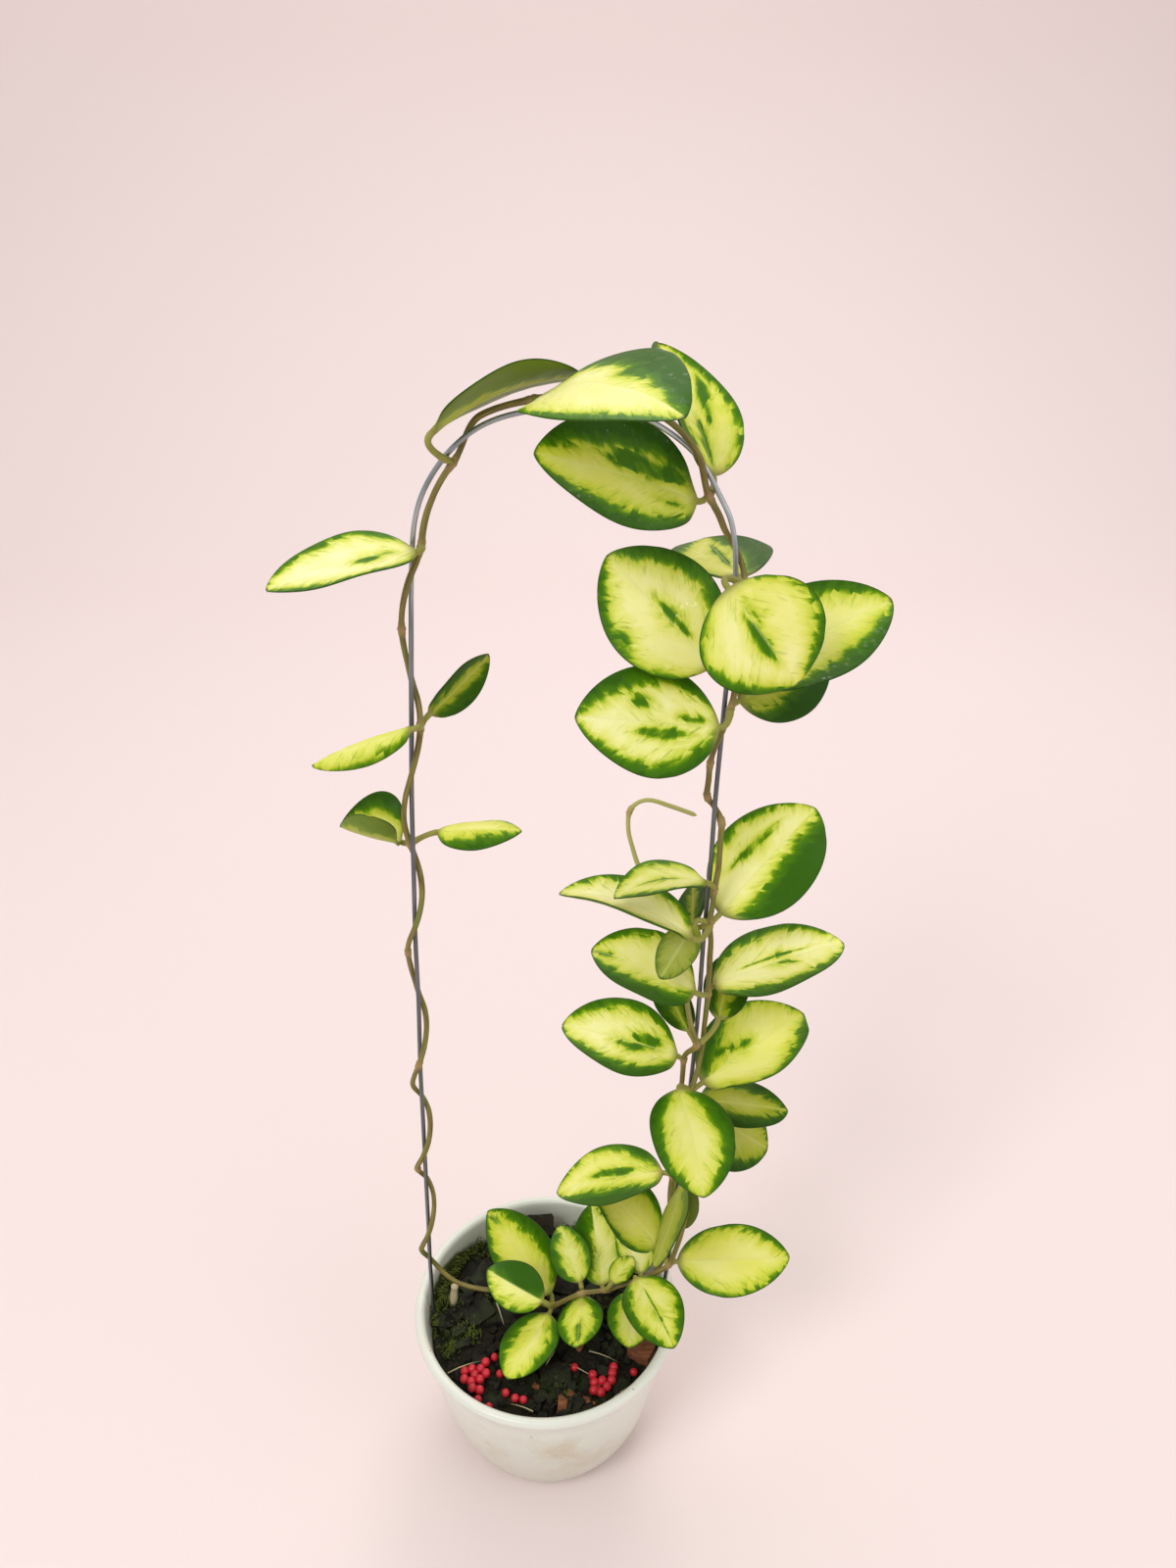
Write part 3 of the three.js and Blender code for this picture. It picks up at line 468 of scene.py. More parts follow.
def cube_points(splits):
    """The points and squares of a cube from -1 to 1 with each side split, its doubles merged."""
    ticks = np.linspace(-1, 1, splits + 1)
    a, b = np.meshgrid(ticks, ticks, indexing="ij")
    one = np.ones_like(a)
    sides = [np.stack(side, axis=-1) for side in ((a, b, one), (b, a, -one), (one, a, b), (-one, b, a),
                                                  (b, one, a), (a, -one, b))]
    points = np.vstack([side.reshape(-1, 3) for side in sides])
    i, j = np.meshgrid(np.arange(splits), np.arange(splits), indexing="ij")
    corner = (i * (splits + 1) + j).reshape(-1, 1)
    square = corner + [0, splits + 1, splits + 2, 1]
    squares = np.vstack([square + k * (splits + 1) ** 2 for k in range(6)])
    merged, where = np.unique(points.round(6), axis=0, return_inverse=True)
    return merged, where.reshape(-1)[squares]


def turned(angle, axis):
    """The matrix of a turn by an angle in radians about axis 0, 1 or 2."""
    c, s = math.cos(angle), math.sin(angle)
    matrix = np.eye(3)
    i, j = [(1, 2), (2, 0), (0, 1)][axis]
    matrix[[i, j], [i, j]] = c
    matrix[i, j], matrix[j, i] = -s, s
    return matrix


def rough_block(random, size, splits, push, soften):
    """A block of a size whose points are drawn in towards a ball and pushed in and out."""
    points, squares = cube_points(splits)
    ball = unit(points) * 1.15
    points = points * (1 - soften) + ball * soften
    points = points * (1 + random.uniform(-push, push, (len(points), 1)))
    points = points + random.uniform(-push, push, points.shape) / 2
    return points * np.asarray(size) / 2, squares


random = np.random.default_rng(7)
top_radii = SOIL_EDGE * (1 - np.arange(SOIL_RINGS) / SOIL_RINGS)
angle = 2 * np.pi * np.arange(SOIL_CORNERS) / SOIL_CORNERS
side_rings = lathed(np.array(SOIL_SIDES, float), SOIL_CORNERS)
x, y = top_radii[:, None] * np.cos(angle), top_radii[:, None] * np.sin(angle)
crumbs = 0.35 * np.sin(1.9 * x + 1.3 * y) * np.cos(2.3 * y - 0.7 * x)
crumbs = crumbs + 0.25 * np.sin(3.7 * x) * np.sin(4.1 * y)
top_rings = np.stack([x, y, soil_height(x, y) + crumbs - 0.6], axis=-1)
soil_parts = [skin(np.concatenate([side_rings, top_rings]))]
for x, y, above, length, width, heading, tilt in BARK_CHUNKS:
    points, squares = rough_block(random, (length, width, above + CHUNK_ROOT), 5, 0.07, 0.18)
    points = points @ turned(math.radians(tilt), 0).T @ turned(math.radians(heading), 2).T
    points += [x, y, soil_height(x, y) + above - (above + CHUNK_ROOT) / 2]
    soil_parts.append((points, squares))
for i in range(SMALL_CHIPS):
    radius, angle = SMALL_CHIP_REACH * math.sqrt(random.uniform()), random.uniform(0, 2 * math.pi)
    x, y = radius * math.cos(angle), radius * math.sin(angle)
    long = random.uniform(2.0, 6.5)
    size = (long, long * random.uniform(0.4, 0.8), long * random.uniform(0.25, 0.5))
    points, squares = rough_block(random, size, 2, 0.16, 0.3)
    points = points @ turned(random.uniform(-0.5, 0.5), 0).T @ turned(random.uniform(-0.4, 0.4), 1).T
    points = points @ turned(random.uniform(0, math.pi), 2).T
    soil_parts.append((points + [x, y, soil_height(x, y) + random.uniform(-0.4, 0.9)], squares))
soil_points, soil_faces = joined(soil_parts)
soil = add_mesh("bark_soil", soil_points, soil_faces, bark)
soil.data.set_sharp_from_angle(angle=math.radians(38))
finish_piece(soil, "soil", "soil")

# %% [markdown]
# ## The wire hoop
# The plant climbs one galvanised wire, bent to an arch. A Blender curve with a bevel
# would do, but its route is needed as numbers too, because the stem is wound round it.

# %% Galvanised steel
# Steel wire, hot-dip galvanised and then drawn: grey zinc with fine marks along the wire, 25 mm
# long and 0.7 mm wide, and broader clouds. Below the arch it is painted darker, as painted shade.
zinc, tree, shader = new_material("galvanised steel", Metallic=1.0)
along = add(tree, "Attribute", attribute_name="along", out="Vector")
drawn = add(tree, "VectorMath", along, (0.04, 1.4, 1), operation="MULTIPLY")
marks = add(tree, "TexNoise", {"Vector": drawn, "Scale": 1, "Detail": 4, "Roughness": 0.55})
dipped = add(tree, "VectorMath", along, (0.05, 0.3, 1), operation="MULTIPLY")
clouds = add(tree, "TexNoise", {"Vector": dipped, "Scale": 1, "Detail": 2, "Roughness": 0.55})
colour = add(tree, "ValToRGB", clouds, stops=[(0.3, "#8b9194"), (0.5, "#a9aeb1"), (0.72, "#cfd3d5")])

# The legs below the arch are painted darker, as painted shade, and the arch stays bright.
height = add(tree, "SeparateXYZ", add(tree, "TexCoord", out="Object"), out=2)
painted_leg_shade = add(tree, "Math", add(tree, "MapRange", height, 360 * MM, 310 * MM), 0.75, operation="MULTIPLY")
colour = add(tree, "Mix", {0: painted_leg_shade, 6: colour, 7: "#4d5256"}, **BLEND)
tree.links.new(colour, shader.inputs["Base Color"])
dull = add(tree, "MapRange", marks, 0.3, 0.7, 0.26, 0.48)
tree.links.new(dull, shader.inputs["Roughness"])
scratch = add(tree, "Bump", {"Height": marks, "Strength": 0.25, "Distance": 0.2 * MM})
tree.links.new(scratch, shader.inputs["Normal"])

# %% Hoop
# [x, height] from the right foot over the top to the left foot.
HOOP_POINTS = [
    [38, 30], [43, 57], [45.5, 80], [47.5, 105], [49, 130], [50.5, 155], [52, 180], [53, 205],
    [53.5, 230], [54.5, 255], [55, 280], [56, 305], [57, 330], [57.5, 350], [56, 364], [52, 373],
    [45, 384], [34, 392], [20, 397], [5, 396], [-9, 393], [-19, 387], [-27, 377.5], [-31.5, 367],
    [-33.5, 352], [-35, 330], [-36.5, 305], [-38, 280], [-39, 255], [-40, 230], [-40.5, 205],
    [-41.5, 180], [-42, 155], [-42.5, 130], [-43, 105], [-43.5, 80], [-43, 57], [-38.5, 30],
]
FRONT = np.array([0, -math.cos(HOOP_LEAN), math.sin(HOOP_LEAN)])
hoop_stops = np.array([(x, (z - SOIL_LEVEL) * math.tan(HOOP_LEAN), z) for x, z in HOOP_POINTS])


def on_hoop(places):
    """The point and the unit direction of the wire at places counted in its points."""
    places = np.asarray(places, float)
    small = 0.004
    last = len(hoop_stops) - 1
    ahead = through(hoop_stops, np.clip(places + small, 0, last))
    behind = through(hoop_stops, np.clip(places - small, 0, last))
    return through(hoop_stops, places), unit(ahead - behind)


hoop_curve, _ = on_hoop(np.linspace(0, len(hoop_stops) - 1, 1500))
hoop_middles, hoop_lengths, _ = even_steps(hoop_curve, 1.2)
WIRE_SIDES = 16
hoop_rings = round_rings(hoop_middles, WIRE_RADIUS, WIRE_SIDES, FRONT)
hoop_points, hoop_faces = skin(hoop_rings)
hoop_place = rod_place(hoop_lengths, np.arange(WIRE_SIDES) * 2 * np.pi * WIRE_RADIUS / WIRE_SIDES)
hoop = add_mesh("galvanised_hoop", hoop_points, hoop_faces, zinc, along=with_ends(hoop_place))
finish_piece(hoop, "wire", "wire_hoop")

# %% [markdown]
# ## The stem
# One stem climbs the right leg, runs over the top and down the left leg, crosses the pot and
# climbs the right leg again. Its route is a list of stops: either a point, or a place on the
# wire with the side of the wire it lies on, in quarter turns. Between two stops on the wire it
# winds evenly. Where leaves grow, the stem is swollen and ringed.

# %% Stem route
# A wire stop is (place, quarter, off), and a point stop is (x, y, z). "shoot" marks the young end.
VINE_STOPS = [
    ((37, 10, 34),), ((38, 9.5, 56),), ((41, 8.5, 70),),
    ("wire", 2.4, -1, 2.6), ("wire", 3.2, -0.5, 2.4), ("wire", 4, 0.2, 2.8, "low"),
    ("wire", 4.8, 0.6, 2.5), ("wire", 5.6, 1, 2.8, "rightA"), ("wire", 6.6, 2, 2.5),
    ("wire", 7.15, 2, 2.8, "rightB"), ("wire", 7.7, 2, 2.5), ("wire", 8.3, 1.3, 2.7, "rightC"),
    ("wire", 8.8, 1.4, 2.7, "rightD"), ("wire", 9.3, 2, 2.5), ("wire", 9.7, 2.2, 2.6, "bareA"),
    ("wire", 9.88, 3, 2.8), ("wire", 10.05, 3.9, 2.6, "bareB"), ("wire", 10.5, 4, 2.6, "bareC"),
    ("wire", 11, 5, 2.5), ("wire", 11.25, 5.4, 2.7, "rightE"), ("wire", 11.65, 6, 2.7, "rightF"),
    ("wire", 12.4, 6, 2.5), ("wire", 12.9, 6, 2.7, "rightG"), ("wire", 13.55, 7, 2.5),
    ("wire", 14.2, 8, 2.5), ("wire", 15.1, 8, 2.7, "archA"), ("wire", 15.85, 9, 2.5),
    ("wire", 17, 10, 2.5), ("wire", 19.2, 10, 2.7, "archB"), ("wire", 20.1, 10, 2.5),
    ("wire", 20.75, 11, 2.5), ("wire", 21.4, 12, 2.7, "archC"), ("wire", 22.5, 12.1, 3),
    ("wire", 23.55, 12.2, 2.7, "leftA"), ("wire", 24.05, 13, 2.8), ("wire", 24.8, 14, 2.7, "bareD"),
    ("wire", 25.5, 15, 2.5), ("wire", 26, 16, 2.7, "leftB"), ("wire", 26.65, 17, 2.5),
    ("wire", 27.25, 18, 2.5), ("wire", 27.65, 18.7, 2.7, "leftC"), ("wire", 28.35, 20, 2.5),
    ("wire", 28.8, 21, 2.5), ("wire", 29.2, 22, 2.6, "bareE"), ("wire", 29.95, 23, 2.5),
    ("wire", 30.4, 24, 2.5), ("wire", 30.95, 25, 2.6, "bareF"), ("wire", 31.4, 26, 2.8),
    ("wire", 31.7, 27, 2.8), ("wire", 32.1, 28, 2.5), ("wire", 32.55, 29, 2.9),
    ("wire", 32.9, 30, 2.8, "bareG"), ("wire", 33.2, 31, 2.9), ("wire", 33.6, 32, 2.5),
    ("wire", 34.1, 33, 2.5), ("wire", 34.5, 34, 2.9), ("wire", 34.8, 35, 2.8),
    ((-39.5, 5, 78),), ((-35.5, 3.5, 75),), ((-30.5, 2.5, 73),), ((-25, 1.5, 72.5),),
    ((-17, 0.5, 72.5),), ((-6.5, -1, 70),), ((2, -1, 66), "potA"), ((8.5, -1, 70),),
    ((13.5, -0.5, 72.5), "potB"), ((18, -0.5, 73.5),), ((23, -0.5, 74.5), "potC"),
    ((28.5, 0, 76.5),), ((34.5, 0, 79.5), "potD"), ((40, -0.5, 83.5),),
    ("wire", 2.35, 1, 3.3, "potE"), ("wire", 3.3, 2, 4), ("wire", 4.15, 2.5, 3.4, "secondA"),
    ("wire", 4.6, 3, 3.1), ("wire", 5.1, 3.6, 3.3, "secondB"), ("wire", 5.6, 4, 3.1),
    ("wire", 6.05, 4, 3.3, "secondC"), ("wire", 6.45, 5, 4.8, "secondD"),
    ("wire", 6.85, 4.5, 4.5, "shoot"), ("wire", 7.25, 4, 4.5),
    ((48.5, 19, 216),), ((45.5, 26, 226),), ((43.5, 29, 231.5),), ((38, 31, 240),),
    ((33, 32, 246.5),), ((30.5, 33, 254),), ((29, 33.5, 261),), ((29.5, 34, 267.5), "shootTip"),
    ((32, 34, 270.5),), ((35.5, 34, 271.5),), ((43, 34, 269),), ((51, 33.5, 266),),
]
STOP_SPACING = 0.25
STEPS_TO_A_STOP = 12


def beside_wire(stops):
    """Points at (place, quarter, off): off from the wire's middle, on the side of the quarter turn."""
    stops = np.atleast_2d(stops)
    point, forward = on_hoop(stops[:, 0])
    inside = unit(np.cross(FRONT, forward))
    angle = stops[:, 1:2] * np.pi / 2
    return point + stops[:, 2:3] * (np.cos(angle) * inside + np.sin(angle) * FRONT)


stem_points, stem_nodes, shoot_from, previous = [], {}, 0, None
for stop in VINE_STOPS:
    wound = stop[0] == "wire"
    name = stop[-1] if isinstance(stop[-1], str) else ""
    values = np.array(stop[1:4] if wound else stop[0], float)
    if wound and previous is not None:
        fills = max(1, int(math.floor(abs(values[0] - previous[0]) / STOP_SPACING + 0.5)))
        share = np.arange(1, fills)[:, None] / fills
        stem_points += list(beside_wire(previous + (values - previous) * share)) if fills > 1 else []
    point = beside_wire(values)[0] if wound else values
    if name == "shoot":
        shoot_from = len(stem_points)
    elif name:
        stem_nodes[name] = point
    stem_points.append(point)
    previous = values if wound else None
stem_points = np.array(stem_points)
fine_places = np.linspace(0, len(stem_points) - 1, STEPS_TO_A_STOP * len(stem_points))
stem_curve = through(stem_points, fine_places, centripetal=True)
stem_middles, stem_lengths, stem_places = even_steps(stem_curve, 0.7)
print(f"the stem is {stem_lengths[-1]:.0f} mm long, with {len(stem_nodes)} nodes")

# %% Stem skin
# A hoya's stem, grown: olive bark that turns tan at the nodes, finely ridged along its length,
# and smooth pale green at the young end.
stem_bark, tree, shader = new_material("hoya stem", Subsurface_Weight=0.05, Subsurface_Scale=1 * MM)
along = add(tree, "Attribute", attribute_name="along", out="Vector")
age = add(tree, "Attribute", attribute_name="age", out="Vector")
young, knot = add(tree, "SeparateXYZ", age, out=slice(2))
ridge_place = add(tree, "VectorMath", along, (0.12, 1.6, 1), operation="MULTIPLY")
ridges = add(tree, "TexNoise", {"Vector": ridge_place, "Scale": 1, "Detail": 4, "Roughness": 0.6})
blush_place = add(tree, "VectorMath", along, (0.06, 0.4, 1), operation="MULTIPLY")
blush = add(tree, "TexNoise", {"Vector": blush_place, "Scale": 1, "Detail": 3, "Roughness": 0.55})
old = add(tree, "ValToRGB", ridges, stops=[(0.3, "#4c4118"), (0.52, "#7c6d2d"), (0.75, "#a0914b")])
old = add(tree, "Mix", {0: add(tree, "MapRange", blush, 0.5, 0.72), 6: old, 7: "#6f7a2c"}, **BLEND)
fresh = add(tree, "Mix", {0: blush, 6: "#9aa04e", 7: "#c3bb78"}, **BLEND)
colour = add(tree, "Mix", {0: young, 6: old, 7: fresh}, **BLEND)
corky = add(tree, "Math", knot, 0.75, operation="MULTIPLY")
colour = add(tree, "Mix", {0: corky, 6: colour, 7: "#a98a58"}, **BLEND)
tree.links.new(colour, shader.inputs["Base Color"])
dull = add(tree, "MapRange", ridges, 0.3, 0.7, 0.42, 0.62)
tree.links.new(dull, shader.inputs["Roughness"])
lines = add(tree, "Bump", {"Height": ridges, "Strength": 0.5, "Distance": 0.3 * MM})
tree.links.new(lines, shader.inputs["Normal"])

# %% Stem mesh
STEM_SIDES = 14
NODE_SWELL = 0.35
node_distance = np.min([np.linalg.norm(stem_middles - node, axis=1) for node in stem_nodes.values()],
                       axis=0)
knot_share = closeness(node_distance, 0, 1.7)
ring_mark = 0.12 * np.cos(2 * np.pi * node_distance / 1.1) * closeness(node_distance, 0, 2.2)
young_share = np.clip((stem_places / STEPS_TO_A_STOP - shoot_from) / 3, 0, 1)
thickness = VINE_RADIUS + (SHOOT_RADIUS - VINE_RADIUS) * young_share
thickness = thickness * (1 + 0.05 * np.sin(stem_lengths / 9) + 0.03 * np.sin(stem_lengths / 2.7))
tip_round = np.sqrt(np.clip((stem_lengths[-1] - stem_lengths) / 1.2, 0.05, 1))
stem_radii = (thickness + NODE_SWELL * knot_share + ring_mark) * tip_round
stem_rings = round_rings(stem_middles, stem_radii, STEM_SIDES, (0, 1, 0))
spoke = stem_rings - stem_middles[:, None]
groove = 1 + 0.045 * np.cos(5 * 2 * np.pi * np.arange(STEM_SIDES) / STEM_SIDES)
stem_rings = stem_middles[:, None] + spoke * groove[:, None]
stem_along = rod_place(stem_lengths, np.arange(STEM_SIDES) * 2 * np.pi * VINE_RADIUS / STEM_SIDES)
stem_age = np.stack([young_share, knot_share, 0 * young_share], axis=-1)
stem_age = np.broadcast_to(stem_age[:, None], stem_rings.shape)
points, faces = skin(stem_rings)
stem = add_mesh("hoya_stem", points, faces, stem_bark, along=with_ends(stem_along), age=with_ends(stem_age))
finish_piece(stem, "stem", "vine")

# %% [markdown]
# ## The leaves
# A hoya leaf is thick and waxy, with a cream or yellow middle and a green margin that is
# different on every leaf. Each leaf is one skin: a round stalk that flattens into the blade.
# The blade is drawn on a grid of two parameters, one from base to tip and one from margin to
# margin. The green is worked out on the same grid, as a distance in millimetres to the nearest
# green edge, and the material feathers that edge along the side veins.

# %% Leaf table
# (name, node of the stem, where the blade starts, heading, rise, roll, length, width, bend, curl)
LEAVES = [
    ("leaf_arch_1", "archC", (-24.5, 21, 392), 20, 15, -30, 44, 30, 40, 15),
    ("leaf_arch_2", "archB", (3.5, 26.5, 399), -45, 5, 15, 52, 40, 55, 5),
    ("leaf_arch_3", "archA", (50.5, 34.5, 376.5), 115, 40, 25, 45, 34, 20, 30),
    ("leaf_arch_4", "archA", (45.5, 26.5, 372), -165, 20, -40, 48, 36, 15, 20),
    ("leaf_right_1", "rightF", (51.5, 16.5, 327), 150, 38, -55, 44, 34, 20, 15),
    ("leaf_right_2", "rightG", (59, 32.5, 347.5), 100, -3, -5, 39, 31, 5, 10),
    ("leaf_right_3", "rightG", (54, 13.5, 352), -20, -50, 65, 34, 36, 40, 10),
    ("leaf_right_4", "rightF", (61, 26.5, 318.5), 20, 20, 35, 52, 33, 15, 30),
    ("leaf_right_5", "rightE", (61, 25.5, 311.5), 35, 5, 55, 37, 25, 0, 15),
    ("leaf_right_6", "rightE", (54, 13.5, 309), -170, 10, -45, 43, 34, 0, 10),
    ("leaf_right_7", "rightC", (58.5, 17, 239), 42, 25, 20, 50, 34, 12, 12),
    ("leaf_right_8", "rightC", (48.5, 4.5, 239), 160, 8, 10, 46, 25, 45, 35),
    ("leaf_right_9", "rightD", (52.5, 12, 255), -170, -5, 10, 30, 23, 50, 20),
    ("leaf_right_10", "rightC", (50, 16.5, 235), 85, 10, -45, 20, 14, 5, 15),
    ("leaf_right_11", "rightC", (50, 12, 239), -135, -40, 150, 21, 13, 30, 25),
    ("leaf_right_12", "rightB", (51, 9, 213), 170, 20, -10, 37, 30, 25, 25),
    ("leaf_right_13", "rightB", (58, 17, 209), 10, 15, 0, 46, 33, 10, 20),
    ("leaf_right_14", "secondD", (50, 11.5, 194), 125, 45, -70, 25, 16, 15, 10),
    ("leaf_right_15", "secondD", (60, 14, 197), 75, 22, 20, 25, 17, 10, 30),
    ("leaf_right_16", "secondC", (46.5, 11.5, 182.5), 175, 15, -10, 41, 32, 15, 20),
    ("leaf_right_17", "rightA", (55.5, 10.5, 171), 35, 8, 10, 48, 33, 15, 40),
    ("leaf_right_18", "secondB", (55.5, 13.5, 160), 0, -10, 0, 32, 24, 0, 10),
    ("leaf_right_19", "rightA", (47, 3.5, 175), -80, -20, -5, 38, 29, 25, 15),
    ("leaf_right_20", "secondB", (53, 16.5, 153), 3, -38, 35, 37, 31, 15, 10),
    ("leaf_right_21", "low", (43, 7.5, 129.5), -180, -15, 5, 40, 30, 20, 20),
    ("leaf_right_22", "potE", (41.5, 4, 94.5), 155, 40, -5, 33, 26, 25, 25),
    ("leaf_right_23", "secondA", (50.5, 2.5, 130.5), -115, -30, -125, 31, 20, 10, 0),
    ("leaf_right_24", "secondA", (49, 15, 122.5), -70, -65, -110, 23, 16, -10, 40),
    ("leaf_right_25", "potE", (49.5, 1.5, 88.5), 10, -10, 50, 45, 27, 0, 15),
    ("leaf_pot_1", "potA", (1.5, 3.5, 67), 140, 35, 5, 39, 27, 0, 20),
    ("leaf_pot_2", "potA", (-1, -5, 74), 160, 20, -35, 24, 18, 15, 15),
    ("leaf_pot_3", "potB", (13, 3, 74.5), 118, 40, -25, 22, 16, 12, 15),
    ("leaf_pot_4", "potC", (21.5, 4, 71), 100, 35, 0, 30, 21, 5, 30),
    ("leaf_pot_5", "potC", (25, -1.5, 80), 50, 10, 10, 13, 9, 10, 15),
    ("leaf_pot_6", "potD", (36, 4, 78), 100, 20, 0, 22, 16, 15, 20),
    ("leaf_pot_7", "potD", (34, -2, 83), -65, -5, 5, 30, 22, 25, 20),
    ("leaf_pot_8", "potD", (34, -3.5, 78.5), -98, -5, 10, 23, 19, 10, 15),
    ("leaf_pot_9", "potB", (14, 1, 68.5), -95, 5, 15, 23, 18, 5, -5),
    ("leaf_pot_10", "potA", (1, -3, 63.5), -120, -5, 10, 29, 22, 10, 5),
    ("leaf_left_1", "leftA", (-31, 21, 359.5), -165, -10, -5, 42, 29, 25, 15),
    ("leaf_left_2", "leftB", (-31.5, 26.5, 306.5), 40, 30, 95, 26, 15, 5, 35),
    ("leaf_left_3", "leftB", (-35.5, 16, 307), -175, -20, -10, 32, 14, 10, -90),
    ("leaf_left_4", "leftC", (-43.5, 25.5, 261), 175, 15, 15, 20, 36, 5, 80),
    ("leaf_left_5", "leftC", (-31, 23, 266.5), -15, 10, 0, 28, 18, 10, -25),
]
